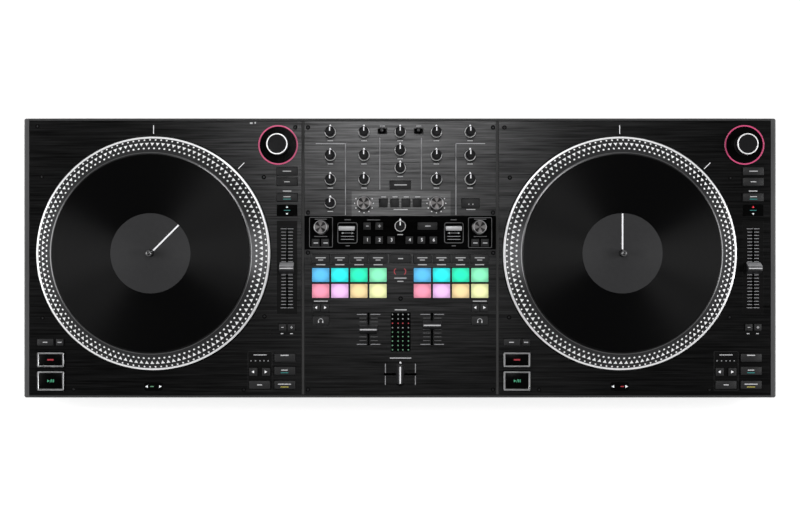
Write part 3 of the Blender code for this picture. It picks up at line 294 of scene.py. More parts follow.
def bumped(tree, shader, height, distance, strength=1.0):
    bump = addNode(tree, "ShaderNodeBump", {"Distance": distance, "Strength": strength})
    join(tree, height, bump.inputs["Height"])
    join(tree, bump.outputs["Normal"], shader.inputs["Normal"])


def mouldedPlastic(name, color, roughness=(0.4, 0.55), grainScale=900.0, contrast=0.25, height=0.03 * mm,
                   specular=0.5):
    material, tree, shader, place = startMaterial(name)
    texture = placeGroup(tree, grain, {"Scale": grainScale, "Contrast": contrast}, {"Vector": place})
    touch = placeGroup(tree, smudges, {"Scale": 45.0, "Low": roughness[0], "High": roughness[1]},
                       {"Vector": place})
    join(tree, tinted(tree, color, texture.outputs["Shade"]), shader.inputs["Base Color"])
    join(tree, touch.outputs["Roughness"], shader.inputs["Roughness"])
    bumped(tree, shader, texture.outputs["Height"], height)
    shader.inputs["Specular IOR Level"].default_value = specular
    return material


def brushedMetal(name, color, roughness=(0.25, 0.35), contrast=0.3, along=30.0, across=2600.0,
                 metallic=1.0):
    material, tree, shader, place = startMaterial(name)
    texture = placeGroup(tree, brushing, {"Along": along, "Across": across, "Contrast": contrast},
                         {"Vector": place})
    touch = placeGroup(tree, smudges, {"Scale": 60.0, "Low": roughness[0], "High": roughness[1]},
                       {"Vector": place})
    join(tree, tinted(tree, color, texture.outputs["Shade"]), shader.inputs["Base Color"])
    join(tree, touch.outputs["Roughness"], shader.inputs["Roughness"])
    shader.inputs["Metallic"].default_value = metallic
    bumped(tree, shader, texture.outputs["Height"], 0.01 * mm)
    return material


def turnedMetal(name, color, centre, roughness=0.25, anisotropic=0.7, contrast=0.25, rings=3500.0,
                paintedSheenSectors=0.0):
    # How dark the four diagonal sectors are painted: the light and dark sectors are a painted reflection of the
    # lamps' sheen on spun metal
    material, tree, shader, place = startMaterial(name, centre)
    texture = placeGroup(tree, turning, {"Rings": rings, "Contrast": contrast}, {"Vector": place})
    shade = texture.outputs["Shade"]
    # Painted reflection: a cross of dark diagonal sectors between lighter ones, fixed in the colour
    if paintedSheenSectors:
        parts = addNode(tree, "ShaderNodeSeparateXYZ")
        join(tree, place, parts.inputs[0])
        angle = calculate(tree, "ARCTAN2", parts.outputs[1], parts.outputs[0])
        wave = calculate(tree, "COSINE", calculate(tree, "MULTIPLY", angle, 4.0))
        paintedSheen = addNode(tree, "ShaderNodeMapRange",
                        {"From Min": -0.7, "From Max": 0.3, "To Min": 1 - paintedSheenSectors})
        join(tree, wave, paintedSheen.inputs["Value"])
        shade = calculate(tree, "MULTIPLY", shade, paintedSheen.outputs["Result"])
    join(tree, tinted(tree, color, shade), shader.inputs["Base Color"])
    rough = placeGroup(tree, smudges, {"Scale": 120.0, "Low": roughness * 0.85, "High": roughness * 1.15},
                       {"Vector": place})
    join(tree, rough.outputs["Roughness"], shader.inputs["Roughness"])
    shader.inputs["Metallic"].default_value = 1.0
    shader.inputs["Anisotropic"].default_value = anisotropic
    shader.inputs["Anisotropic Rotation"].default_value = 0.25
    bumped(tree, shader, texture.outputs["Height"], 0.008 * mm)
    return material


def litPlastic(name, color, glow):
    # A clear window with a lamp under it, a little uneven
    material, tree, shader, place = startMaterial(name)
    texture = placeGroup(tree, grain, {"Scale": 500.0, "Contrast": 0.3}, {"Vector": place})
    shade = tinted(tree, color, texture.outputs["Shade"])
    join(tree, shade, shader.inputs["Base Color"])
    join(tree, shade, shader.inputs["Emission Color"])
    shader.inputs["Emission Strength"].default_value = glow
    shader.inputs["Roughness"].default_value = 0.35
    bumped(tree, shader, texture.outputs["Height"], 0.01 * mm)
    return material


plastics = {
    "ink": {"color": (0.78, 0.78, 0.80), "roughness": (0.5, 0.6), "contrast": 0.15},
    # Dim grey print, also used for the painted highlight on the tempo caps' rear slope
    "dimInk": {"color": (0.26, 0.26, 0.27), "roughness": (0.5, 0.6), "contrast": 0.15},
    "faintInk": {"color": (0.07, 0.07, 0.072), "roughness": (0.5, 0.6), "contrast": 0.15},
    "keyInk": {"color": (0.42, 0.42, 0.43), "roughness": (0.5, 0.6), "contrast": 0.15},
    "strobe": {"color": (0.86, 0.86, 0.87), "roughness": (0.25, 0.35), "contrast": 0.1},
    "key": {"color": (0.019, 0.019, 0.0195), "roughness": (0.34, 0.48), "contrast": 0.3, "specular": 0.12},
    "darkKey": {"color": (0.0015, 0.0015, 0.0015), "roughness": (0.2, 0.3), "contrast": 0.3,
                "specular": 0.05},
    "knob": {"color": (0.004, 0.004, 0.0045), "roughness": (0.38, 0.50), "contrast": 0.3, "specular": 0.12},
    "fader": {"color": (0.014, 0.014, 0.015), "roughness": (0.26, 0.36), "contrast": 0.3, "specular": 0.4},
    "gloss": {"color": (0.002, 0.002, 0.002), "roughness": (0.05, 0.12), "contrast": 0.3, "specular": 0.06},
    "recess": {"color": (0.0015, 0.0015, 0.0015), "roughness": (0.6, 0.7), "contrast": 0.3,
               "specular": 0.05},
    "rubber": {"color": (0.018, 0.018, 0.018), "roughness": (0.7, 0.85), "contrast": 0.4},
    "edgeGrey": {"color": (0.075, 0.075, 0.077), "roughness": (0.35, 0.5), "contrast": 0.2,
                 "specular": 0.2},
    "board": {"color": (0.0015, 0.0025, 0.002), "roughness": (0.3, 0.5), "contrast": 0.5, "specular": 0.05},
}
finishes = {name: mouldedPlastic(name, **values) for name, values in plastics.items()}

lamps = {
    "redLamp": {"color": (0.70, 0.03, 0.05), "glow": 0.35},
    "pinkLamp": {"color": (0.48, 0.055, 0.15), "glow": 0.12},
    "tealLamp": {"color": (0.02, 0.16, 0.15), "glow": 0.15},
    "yellowLamp": {"color": (0.34, 0.30, 0.06), "glow": 0.15},
    "whiteLamp": {"color": (0.70, 0.72, 0.74), "glow": 0.25},
    "cueLamp": {"color": (0.26, 0.02, 0.03), "glow": 0.2},
    "playLamp": {"color": (0.06, 0.30, 0.17), "glow": 0.15},
    "meterWhite": {"color": (0.24, 0.25, 0.25), "glow": 0.1},
    "meterRed": {"color": (0.32, 0.03, 0.04), "glow": 0.2},
    "meterGreen": {"color": (0.10, 0.24, 0.14), "glow": 0.1},
}
finishes.update({name: litPlastic(name, **values) for name, values in lamps.items()})
finishes["silver"] = brushedMetal("silver", (0.62, 0.62, 0.63))
finishes["collar"] = brushedMetal("collar", (0.90, 0.90, 0.91), (0.22, 0.32), metallic=0.25)
finishes["darkSteel"] = brushedMetal("darkSteel", (0.045, 0.045, 0.047), (0.35, 0.5))
finishes["satinBar"] = brushedMetal("satinBar", (0.40, 0.40, 0.41), (0.42, 0.55), along=120.0)
print("plain finishes made")


# Case finish: dark plastic with lighter strips along both ends

caseLook = {"dark": (0.006, 0.006, 0.0065), "strip": (0.040, 0.040, 0.041), "stripFrom": 345.3 * mm}


def caseFinish():
    material, tree, shader, place = startMaterial("casePlastic")
    texture = placeGroup(tree, grain, {"Scale": 700.0, "Contrast": 0.25}, {"Vector": place})
    parts = addNode(tree, "ShaderNodeSeparateXYZ")
    join(tree, place, parts.inputs[0])
    outward = calculate(tree, "ABSOLUTE", parts.outputs[0])
    end = calculate(tree, "GREATER_THAN", outward, caseLook["stripFrom"])
    color = mixed(tree, end, caseLook["dark"], caseLook["strip"])
    join(tree, tinted(tree, color, texture.outputs["Shade"]), shader.inputs["Base Color"])
    touch = placeGroup(tree, smudges, {"Scale": 14.0, "Low": 0.42, "High": 0.58}, {"Vector": place})
    join(tree, touch.outputs["Roughness"], shader.inputs["Roughness"])
    bumped(tree, shader, texture.outputs["Height"], 0.04 * mm)
    return material


# Panel finish: brushed dark metal, with satin and glossy plates printed on it

panelLook = {"metal": (0.0325, 0.0325, 0.033), "paleMetal": (0.057, 0.057, 0.0575), "specular": 0.1,
             "roughness": (0.27, 0.31), "anisotropic": 0.3, "satin": (0.003, 0.003, 0.003),
             "gloss": (0.0015, 0.0015, 0.0015), "coarse": (16.0, 560.0, 3.0), "fine": (40.0, 1500.0, 0.9)}


def panelFinish(name, zones):
    material, tree, shader, place = startMaterial(name)
    coarse, fine = (placeGroup(tree, brushing, {"Along": along, "Across": across, "Contrast": contrast},
                               {"Vector": place}) for along, across, contrast in (panelLook["coarse"], panelLook["fine"]))
    touch = placeGroup(tree, smudges, {"Scale": 9.0, "Low": panelLook["roughness"][0],
                                       "High": panelLook["roughness"][1]}, {"Vector": place})
    # Each zone: where, its colour, how rough, and whether it is bare metal
    color, roughness, metallic = panelLook["metal"], touch.outputs["Roughness"], 1.0
    for middle, half, plateColor, plateRoughness, bare in zones:
        mask = placeGroup(tree, zone, {"Middle": (*middle, 0), "Half": (*half, 0)},
                          {"Vector": place}).outputs[0]
        color = mixed(tree, mask, color, plateColor)
        roughness = mixed(tree, mask, roughness, plateRoughness)
        metallic = mixed(tree, mask, metallic, bare)
    streaks = calculate(tree, "MAXIMUM",
                        calculate(tree, "MULTIPLY", coarse.outputs["Shade"], fine.outputs["Shade"]), 0.15)
    join(tree, tinted(tree, color, streaks), shader.inputs["Base Color"])
    join(tree, roughness, shader.inputs["Roughness"])
    join(tree, metallic, shader.inputs["Metallic"])
    shader.inputs["Specular IOR Level"].default_value = panelLook["specular"]
    shader.inputs["Anisotropic"].default_value = panelLook["anisotropic"]
    tangent = addNode(tree, "ShaderNodeTangent", direction_type="RADIAL", axis="X")
    join(tree, tangent.outputs[0], shader.inputs["Tangent"])
    bumped(tree, shader, fine.outputs["Height"], 0.006 * mm)
    return material


def zoneFromPhoto(left, top, right, bottom, color, roughness, bare=0.0):
    west, north = onPanel(left, top)
    east, south = onPanel(right, bottom)
    middle = ((west + east) / 2, (north + south) / 2)
    half = ((east - west) / 2, (north - south) / 2)
    return middle, half, color, roughness, bare


def deckZones(side):
    satin = panelLook["satin"]
    tempo = (onDeck(side, 133.4, -14.0), (10.15 * pixel, 46.6 * pixel), satin, 0.4, 0.0)
    corner = (onDeck(side, 106.4, -117.5), (12.2 * pixel, 19.5 * pixel), satin, 0.4, 0.0)
    return [tempo, corner]


mixerZones = [
    zoneFromPhoto(351.7, 191.6, 450.5, 216.1, panelLook["paleMetal"], 0.3, 1.0),
    zoneFromPhoto(303.0, 216.1, 498.0, 249.7, panelLook["gloss"], 0.06),
    zoneFromPhoto(377.8, 128.3, 387.2, 134.5, panelLook["satin"], 0.5),
    zoneFromPhoto(414.0, 128.3, 423.4, 134.5, panelLook["satin"], 0.5),
]
setFinish = {
    "bottom_case": caseFinish(),
    "left_deck_panel": panelFinish("leftPanel", deckZones("left")),
    "right_deck_panel": panelFinish("rightPanel", deckZones("right")),
    "mixer_panel": panelFinish("mixerPanel", mixerZones),
    "main_board": finishes["board"],
    "left_motor": turnedMetal("leftMotorSteel", (0.45, 0.45, 0.46), middleOf("left_motor"), 0.35),
    "right_motor": turnedMetal("rightMotorSteel", (0.45, 0.45, 0.46), middleOf("right_motor"), 0.35),
}
for node, material in setFinish.items():
    for holder in frame["nodes"][node].material_slots:
        holder.material = material
print("case and panels finished")


# Mesh helpers

def linked(name, mesh):
    piece = bpy.data.objects.new(name, mesh)
    scene.collection.objects.link(piece)
    return piece


def mounted(piece, body, replaced=None):
    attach(piece, body)
    if replaced:
        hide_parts(replaced)
    return piece


def closed(bm):
    bmesh.ops.remove_doubles(bm, verts=bm.verts, dist=0.001 * mm)
    bmesh.ops.recalc_face_normals(bm, faces=bm.faces)


def meshFrom(bm, name, materials, sharp=35.0):
    closed(bm)
    mesh = bpy.data.meshes.new(name)
    bm.to_mesh(mesh)
    bm.free()
    for material in materials:
        mesh.materials.append(material)
    mesh.shade_smooth()
    mesh.set_sharp_from_angle(angle=math.radians(sharp))
    return mesh


def rounded(profile, radius, steps=3):
    # Each inner corner of a line of (radius, height) points becomes a small arc
    points = [Vector(point) for point in profile]
    result = [points[0]]
    for before, corner, after in zip(points, points[1:], points[2:]):
        inward, outward = before - corner, after - corner
        reach = min(radius, inward.length * 0.45, outward.length * 0.45)
        start, end = corner + inward.normalized() * reach, corner + outward.normalized() * reach
        for step in range(steps + 1):
            share = step / steps
            result.append(start.lerp(corner, share).lerp(corner.lerp(end, share), share))
    result.append(points[-1])
    return [(point[0], point[1]) for point in result]


def lathe(bm, profile, sides, centre=(0, 0), material=0, ripple=None, loop=False):
    # ripple(height, angle) is a share that the radius is multiplied by
    rings = []
    for radius, height in profile:
        if radius < 0.001 * mm:
            rings.append([bm.verts.new((centre[0], centre[1], height))])
            continue
        ring = []
        for step in range(sides):
            angle = 2 * math.pi * step / sides
            reach = radius * (ripple(height, angle) if ripple else 1)
            ring.append(bm.verts.new((centre[0] + reach * math.cos(angle),
                                      centre[1] + reach * math.sin(angle), height)))
        rings.append(ring)
    pairs = list(zip(rings, rings[1:])) + ([(rings[-1], rings[0])] if loop else [])
    for lower, upper in pairs:
        for step in range(sides):
            after = (step + 1) % sides
            corners = [lower[step % len(lower)], lower[after % len(lower)],
                       upper[after % len(upper)], upper[step % len(upper)]]
            unique = list(dict.fromkeys(corners))
            if len(unique) > 2:
                bm.faces.new(unique).material_index = material


def roundedOutline(middle, size, radius, steps=4):
    reach = (size[0] / 2, size[1] / 2)
    radius = min(radius, *(side * 0.999 for side in reach))
    points = []
    for number, (sx, sy) in enumerate(((1, 1), (-1, 1), (-1, -1), (1, -1))):
        for step in range(steps + 1):
            angle = math.pi / 2 * (number + step / steps)
            points.append((middle[0] + sx * (reach[0] - radius) + radius * math.cos(angle),
                           middle[1] + sy * (reach[1] - radius) + radius * math.sin(angle)))
    return points


def bridge(bm, lower, upper, material=0):
    count = len(lower)
    for step in range(count):
        after = (step + 1) % count
        bm.faces.new((lower[step], lower[after], upper[after], upper[step])).material_index = material


def plate(bm, middle, size, low, high, radius=0.6 * mm, chamfer=0.15 * mm, material=0):
    # A slab with rounded corners and a chamfered top edge
    rings = []
    for inset, height in ((0, low), (0, high - chamfer), (chamfer, high)):
        outline = roundedOutline(middle, (size[0] - 2 * inset, size[1] - 2 * inset),
                                 max(radius - inset, 0.05 * mm))
        rings.append([bm.verts.new((x, y, height)) for x, y in outline])
    bridge(bm, rings[0], rings[1], material)
    bridge(bm, rings[1], rings[2], material)
    bm.faces.new(rings[2]).material_index = material
    bm.faces.new(rings[0][::-1]).material_index = material


def frameRing(bm, middle, size, line, low, high, radius=0.8 * mm, chamfer=0.06 * mm, material=0):
    rings = []
    for inset, height in ((0, low), (0, high - chamfer), (chamfer, high), (line - chamfer, high),
                          (line, high - chamfer), (line, low)):
        outline = roundedOutline(middle, (size[0] - 2 * inset, size[1] - 2 * inset),
                                 max(radius - inset, 0.1 * mm))
        rings.append([bm.verts.new((x, y, height)) for x, y in outline])
    for lower, upper in zip(rings, rings[1:] + rings[:1]):
        bridge(bm, lower, upper, material)


# Geometry Nodes helpers

def startTree(name, inputs):
    tree = bpy.data.node_groups.new(name, "GeometryNodeTree")
    sockets = {}
    for label, kind, value in inputs:
        socket = tree.interface.new_socket(label, in_out="INPUT", socket_type="NodeSocket" + kind)
        if value is not None:
            socket.default_value = value
        sockets[label] = socket.identifier
    tree.interface.new_socket("Geometry", in_out="OUTPUT", socket_type="NodeSocketGeometry")
    return tree, addNode(tree, "NodeGroupInput"), addNode(tree, "NodeGroupOutput"), sockets


def readAttribute(tree, name, kind):
    node = addNode(tree, "GeometryNodeInputNamedAttribute", data_type=kind)
    node.inputs["Name"].default_value = name
    return next(socket for socket in node.outputs if socket.enabled and socket.name == "Attribute")


def grown(name, tree, sockets, values, base=None):
    # Runs a tree on a base mesh and keeps the result as a plain mesh
    carrier = linked(name + "_carrier", base or bpy.data.meshes.new(name + "_carrier"))
    modifier = carrier.modifiers.new("grow", "NODES")
    modifier.node_group = tree
    for label, value in values.items():
        modifier[sockets[label]] = value
    view = bpy.context.evaluated_depsgraph_get()
    mesh = bpy.data.meshes.new_from_object(carrier.evaluated_get(view))
    mesh.name = name
    carrier.modifiers.remove(modifier)
    bpy.data.objects.remove(carrier)
    return mesh


def makeMarksTree():
    # Puts a many-sided slab on each point, sized by "size" and turned by "turn"
    tree, inside, outside, sockets = startTree("marksOnPoints", [
        ("Geometry", "Geometry", None), ("Sides", "Int", 4), ("Radius", "Float", 0.7071),
        ("First Turn", "Float", 0.7854), ("Material", "Material", None)])
    slab = addNode(tree, "GeometryNodeMeshCylinder", {"Depth": 1.0})
    join(tree, inside.outputs["Sides"], slab.inputs["Vertices"])
    join(tree, inside.outputs["Radius"], slab.inputs["Radius"])
    spin = addNode(tree, "ShaderNodeCombineXYZ")
    join(tree, inside.outputs["First Turn"], spin.inputs[2])
    turned = addNode(tree, "GeometryNodeTransform")
    join(tree, slab.outputs["Mesh"], turned.inputs["Geometry"])
    join(tree, spin.outputs[0], turned.inputs["Rotation"])
    placed = addNode(tree, "GeometryNodeInstanceOnPoints")
    join(tree, inside.outputs["Geometry"], placed.inputs["Points"])
    join(tree, turned.outputs[0], placed.inputs["Instance"])
    turn = addNode(tree, "ShaderNodeCombineXYZ")
    join(tree, readAttribute(tree, "turn", "FLOAT"), turn.inputs[2])
    join(tree, turn.outputs[0], placed.inputs["Rotation"])
    join(tree, readAttribute(tree, "size", "FLOAT_VECTOR"), placed.inputs["Scale"])
    real = addNode(tree, "GeometryNodeRealizeInstances")
    join(tree, placed.outputs[0], real.inputs[0])
    finish = addNode(tree, "GeometryNodeSetMaterial")
    join(tree, real.outputs[0], finish.inputs["Geometry"])
    join(tree, inside.outputs["Material"], finish.inputs["Material"])
    join(tree, finish.outputs[0], outside.inputs[0])
    return tree, sockets


def makeRingTree():
    # A ring of small marks that lie on a cone
    tree, inside, outside, sockets = startTree("ringOfMarks", [
        ("Count", "Int", 128), ("Radius", "Float", 0.1), ("Phase", "Float", 0.0), ("Tilt", "Float", 0.77),
        ("Sides", "Int", 3), ("Mark Turn", "Float", 0.0), ("Mark Size", "Vector", (0.001, 0.001, 0.0002)),
        ("Centre", "Vector", (0, 0, 0)), ("Material", "Material", None)])
    ring = addNode(tree, "GeometryNodeMeshCircle")
    join(tree, inside.outputs["Count"], ring.inputs["Vertices"])
    join(tree, inside.outputs["Radius"], ring.inputs["Radius"])
    slab = addNode(tree, "GeometryNodeMeshCylinder", {"Depth": 1.0, "Radius": 0.5})
    join(tree, inside.outputs["Sides"], slab.inputs["Vertices"])
    first = addNode(tree, "ShaderNodeCombineXYZ")
    join(tree, inside.outputs["Mark Turn"], first.inputs[2])
    turned = addNode(tree, "GeometryNodeTransform")
    join(tree, slab.outputs["Mesh"], turned.inputs["Geometry"])
    join(tree, first.outputs[0], turned.inputs["Rotation"])
    index = addNode(tree, "GeometryNodeInputIndex")
    step = calculate(tree, "DIVIDE", 2 * math.pi, inside.outputs["Count"])
    angle = calculate(tree, "MULTIPLY", index.outputs[0], step)
    aim = addNode(tree, "ShaderNodeCombineXYZ")
    join(tree, inside.outputs["Tilt"], aim.inputs[1])
    join(tree, angle, aim.inputs[2])
    placed = addNode(tree, "GeometryNodeInstanceOnPoints")
    join(tree, ring.outputs["Mesh"], placed.inputs["Points"])
    join(tree, turned.outputs[0], placed.inputs["Instance"])
    join(tree, aim.outputs[0], placed.inputs["Rotation"])
    join(tree, inside.outputs["Mark Size"], placed.inputs["Scale"])
    real = addNode(tree, "GeometryNodeRealizeInstances")
    join(tree, placed.outputs[0], real.inputs[0])
    phase = addNode(tree, "ShaderNodeCombineXYZ")
    join(tree, inside.outputs["Phase"], phase.inputs[2])
    moved = addNode(tree, "GeometryNodeTransform")
    join(tree, real.outputs[0], moved.inputs["Geometry"])
    join(tree, phase.outputs[0], moved.inputs["Rotation"])
    join(tree, inside.outputs["Centre"], moved.inputs["Translation"])
    finish = addNode(tree, "GeometryNodeSetMaterial")
    join(tree, moved.outputs[0], finish.inputs["Geometry"])
    join(tree, inside.outputs["Material"], finish.inputs["Material"])
    join(tree, finish.outputs[0], outside.inputs[0])
    return tree, sockets


def makeScrewTree():
    # A countersunk cup, a domed head and a cross recess on each point
    tree, inside, outside, sockets = startTree("screwsOnPoints", [
        ("Geometry", "Geometry", None), ("Cup Radius", "Float", 0.00177), ("Head Radius", "Float", 0.0009),
        ("Rise", "Float", 0.0003), ("Cup", "Material", None), ("Head", "Material", None)])
    cup = addNode(tree, "GeometryNodeMeshCylinder", {"Vertices": 24})
    join(tree, inside.outputs["Cup Radius"], cup.inputs["Radius"])
    join(tree, inside.outputs["Rise"], cup.inputs["Depth"])
    head = addNode(tree, "GeometryNodeMeshCone", {"Vertices": 16})
    join(tree, inside.outputs["Head Radius"], head.inputs["Radius Bottom"])
    join(tree, calculate(tree, "MULTIPLY", inside.outputs["Head Radius"], 0.75), head.inputs["Radius Top"])
    join(tree, inside.outputs["Rise"], head.inputs["Depth"])
    marked = addNode(tree, "GeometryNodeStoreNamedAttribute", {"Name": "head", "Value": True},
                     data_type="BOOLEAN",
                     domain="FACE")
    join(tree, head.outputs["Mesh"], marked.inputs["Geometry"])
    together = addNode(tree, "GeometryNodeJoinGeometry")
    join(tree, cup.outputs["Mesh"], together.inputs[0])
    join(tree, marked.outputs[0], together.inputs[0])
    for size in ((1.0, 0.28), (0.28, 1.0)):
        bar = addNode(tree, "GeometryNodeMeshCube")
        extent = addNode(tree, "ShaderNodeCombineXYZ")
        join(tree, calculate(tree, "MULTIPLY", inside.outputs["Head Radius"], size[0]), extent.inputs[0])
        join(tree, calculate(tree, "MULTIPLY", inside.outputs["Head Radius"], size[1]), extent.inputs[1])
        join(tree, calculate(tree, "MULTIPLY", inside.outputs["Rise"], 0.2), extent.inputs[2])
        join(tree, extent.outputs[0], bar.inputs["Size"])
        lifted = addNode(tree, "GeometryNodeTransform")
        lift = addNode(tree, "ShaderNodeCombineXYZ")
        join(tree, calculate(tree, "MULTIPLY", inside.outputs["Rise"], 1.0), lift.inputs[2])
        join(tree, bar.outputs["Mesh"], lifted.inputs["Geometry"])
        join(tree, lift.outputs[0], lifted.inputs["Translation"])
        join(tree, lifted.outputs[0], together.inputs[0])
    placed = addNode(tree, "GeometryNodeInstanceOnPoints")
    join(tree, inside.outputs["Geometry"], placed.inputs["Points"])
    join(tree, together.outputs[0], placed.inputs["Instance"])
    real = addNode(tree, "GeometryNodeRealizeInstances")
    join(tree, placed.outputs[0], real.inputs[0])
    cupFinish = addNode(tree, "GeometryNodeSetMaterial")
    join(tree, real.outputs[0], cupFinish.inputs["Geometry"])
    join(tree, inside.outputs["Cup"], cupFinish.inputs["Material"])
    headFinish = addNode(tree, "GeometryNodeSetMaterial")
    join(tree, cupFinish.outputs[0], headFinish.inputs["Geometry"])
    join(tree, readAttribute(tree, "head", "BOOLEAN"), headFinish.inputs["Selection"])
    join(tree, inside.outputs["Head"], headFinish.inputs["Material"])
    join(tree, headFinish.outputs[0], outside.inputs[0])
    return tree, sockets


marksTree, marksSockets = makeMarksTree()
ringTree, ringSockets = makeRingTree()
screwTree, screwSockets = makeScrewTree()
print("node trees made")


def pointMesh(name, marks):
    # marks: (x, y, z, width, depth, rise, turn), with z the surface they lie on
    mesh = bpy.data.meshes.new(name + "_points")
    mesh.from_pydata([(x, y, z + rise / 2) for x, y, z, _, _, rise, _ in marks], [], [])
    size = mesh.attributes.new("size", "FLOAT_VECTOR", "POINT")
    size.data.foreach_set("vector", [value for mark in marks for value in mark[3:6]])
    turn = mesh.attributes.new("turn", "FLOAT", "POINT")
    turn.data.foreach_set("value", [mark[6] for mark in marks])
    return mesh


shapes = {"dash": (4, 0.7071, math.pi / 4), "dot": (12, 0.5, 0.0), "arrow": (3, 0.577, math.pi / 2)}
printRise = 0.08 * mm


def printMarks(name, marks, finish, body, shape="dash"):
    sides, radius, firstTurn = shapes[shape]
    mesh = grown(name, marksTree, marksSockets, {
        "Sides": sides, "Radius": radius, "First Turn": firstTurn, "Material": finishes[finish]},
                 pointMesh(name, marks))
    return mounted(linked(name, mesh), body)


def mark(place, size, height=panelTop, turn=0.0, rise=printRise):
    # size is in pixels of the photograph
    return (place[0], place[1], height, size[0] * pixel, size[1] * pixel, rise, turn)


# Platters: a turned rim, a dark bevel with three rings of marks, and a top edge painted paler, a painted
# highlight

platterLook = {"sides": 192, "rimLand": 1.6 * mm, "rimHeight": 3 * mm, "bevelRun": 14.3 * mm,
               "bevelRise": 14 * mm,
               "skirt": 6 * mm, "wall": 5 * mm, "web": 5 * mm, "hub": 16 * mm, "spindle": 2.9 * mm,
               "tipBevel": 1.2 * mm, "bore": 4.3 * mm, "boreTop": 48.4 * mm, "hubFoot": 28.4 * mm,
               # top: a paler metal for the top and the bevel's top edge, a painted highlight
               "dark": (0.030, 0.030, 0.031), "bright": (0.86, 0.86, 0.87), "top": (0.12, 0.12, 0.122)}
strobeLook = {"count": 128, "rise": 0.22 * mm, "rows": (
    {"radius": 105.3 * mm, "phase": 0.5, "sides": 6, "size": (2.2 * mm, 1.7 * mm)},
    {"radius": 101.3 * mm, "phase": 0.0, "sides": 3, "size": (5.4 * mm, 3.9 * mm)},
    {"radius": 96.9 * mm, "phase": 0.5, "sides": 6, "size": (2.3 * mm, 2.0 * mm)})}


def platterFinish(side, centre, radius, topRadius):
    material, tree, shader, place = startMaterial(side + "PlatterMetal", centre)
    texture = placeGroup(tree, turning, {"Rings": 2600.0, "Contrast": 0.3}, {"Vector": place})
    ring = texture.outputs["Radius"]
    onRim = calculate(tree, "GREATER_THAN", ring, radius - 1.75 * mm)
    # Painted highlight: the top and the first half millimetre of the bevel are painted a paler metal, a bright
    # line where the bevel's top edge catches the light
    paintedTopHighlight = calculate(tree, "LESS_THAN", ring, topRadius + 0.5 * mm)
    color = mixed(tree, onRim, platterLook["dark"], platterLook["bright"])
    color = mixed(tree, paintedTopHighlight, color, platterLook["top"])
    join(tree, tinted(tree, color, texture.outputs["Shade"]), shader.inputs["Base Color"])
    touch = placeGroup(tree, smudges, {"Scale": 40.0, "Low": 0.26, "High": 0.36}, {"Vector": place})
    join(tree, touch.outputs["Roughness"], shader.inputs["Roughness"])
    # The rim is bead-blasted, so it is pale from every side
    join(tree, mixed(tree, onRim, 1.0, 0.25), shader.inputs["Metallic"])
    shader.inputs["Anisotropic"].default_value = 0.6
    shader.inputs["Anisotropic Rotation"].default_value = 0.25
    bumped(tree, shader, texture.outputs["Height"], 0.01 * mm)
    return material


def makePlatter(side):
    low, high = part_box(side + "_platter")
    centre = (low + high) / 2
    look = platterLook
    radius = (high.x - low.x) / 2
    rimZ = panelTop + look["rimHeight"]
    topZ = rimZ + look["bevelRise"]
    topRadius = radius - look["rimLand"] - look["bevelRun"]
    spindle = [(0, high.z), (look["spindle"] - look["tipBevel"], high.z),
               (look["spindle"], high.z - look["tipBevel"]),
               (look["spindle"], topZ)]
    outside = [(topRadius, topZ), (radius - look["rimLand"], rimZ), (radius, rimZ),
               (radius, panelTop - look["skirt"])]
    inside = [(radius - look["wall"], panelTop - look["skirt"]), (radius - look["wall"], panelTop),
              (topRadius - look["web"], topZ - look["web"]), (look["hub"], topZ - look["web"]),
              (look["hub"], look["hubFoot"]), (look["bore"], look["hubFoot"]),
              (look["bore"], look["boreTop"]),
              (0, look["boreTop"])]
    bm = bmesh.new()
    lathe(bm, rounded(spindle + outside + inside, 0.35 * mm, 2), look["sides"], centre)
    metal = platterFinish(side, centre, radius, topRadius)
    piece = linked(side + "_platter_turned", meshFrom(bm, side + "_platter_turned", [metal], 30.0))
    mounted(piece, side + "_platter", side + "_platter")
    tilt = math.atan2(look["bevelRise"], look["bevelRun"])
    for number, row in enumerate(strobeLook["rows"], 1):
        height = topZ - (row["radius"] - topRadius) * look["bevelRise"] / look["bevelRun"]
        mesh = grown("%s_strobe_row_%d" % (side, number), ringTree, ringSockets, {
            "Count": strobeLook["count"], "Radius": row["radius"], "Tilt": tilt, "Sides": row["sides"],
            "Phase": row["phase"] * 2 * math.pi / strobeLook["count"], "Mark Turn": math.pi,
            "Mark Size": (*row["size"], 2 * strobeLook["rise"]), "Centre": (centre.x, centre.y, height),
            "Material": finishes["strobe"]})
        mounted(linked(mesh.name, mesh), side + "_platter")
    return topZ


for side in decks:
    makePlatter(side)
print("platters made")


# Records: the outline follows a rule, bands of fine grooves between a label and a lead-in

recordLook = {"sides": 192, "hole": 3.3 * mm, "label": 36.7 * mm, "labelRise": 0.3 * mm, "bands": 5,
              "bandGap": 0.9 * mm, "runOut": 45.6 * mm, "leadIn": 3.0 * mm, "ridge": 0.006 * mm,
              "edge": 0.7 * mm,
              "vinyl": (0.0012, 0.0012, 0.0013), "labelColor": (0.028, 0.028, 0.029),
              "pointer": (1.4 * mm, 33 * mm),
              "pointerTurn": {"left": -45.0, "right": 0.0}}


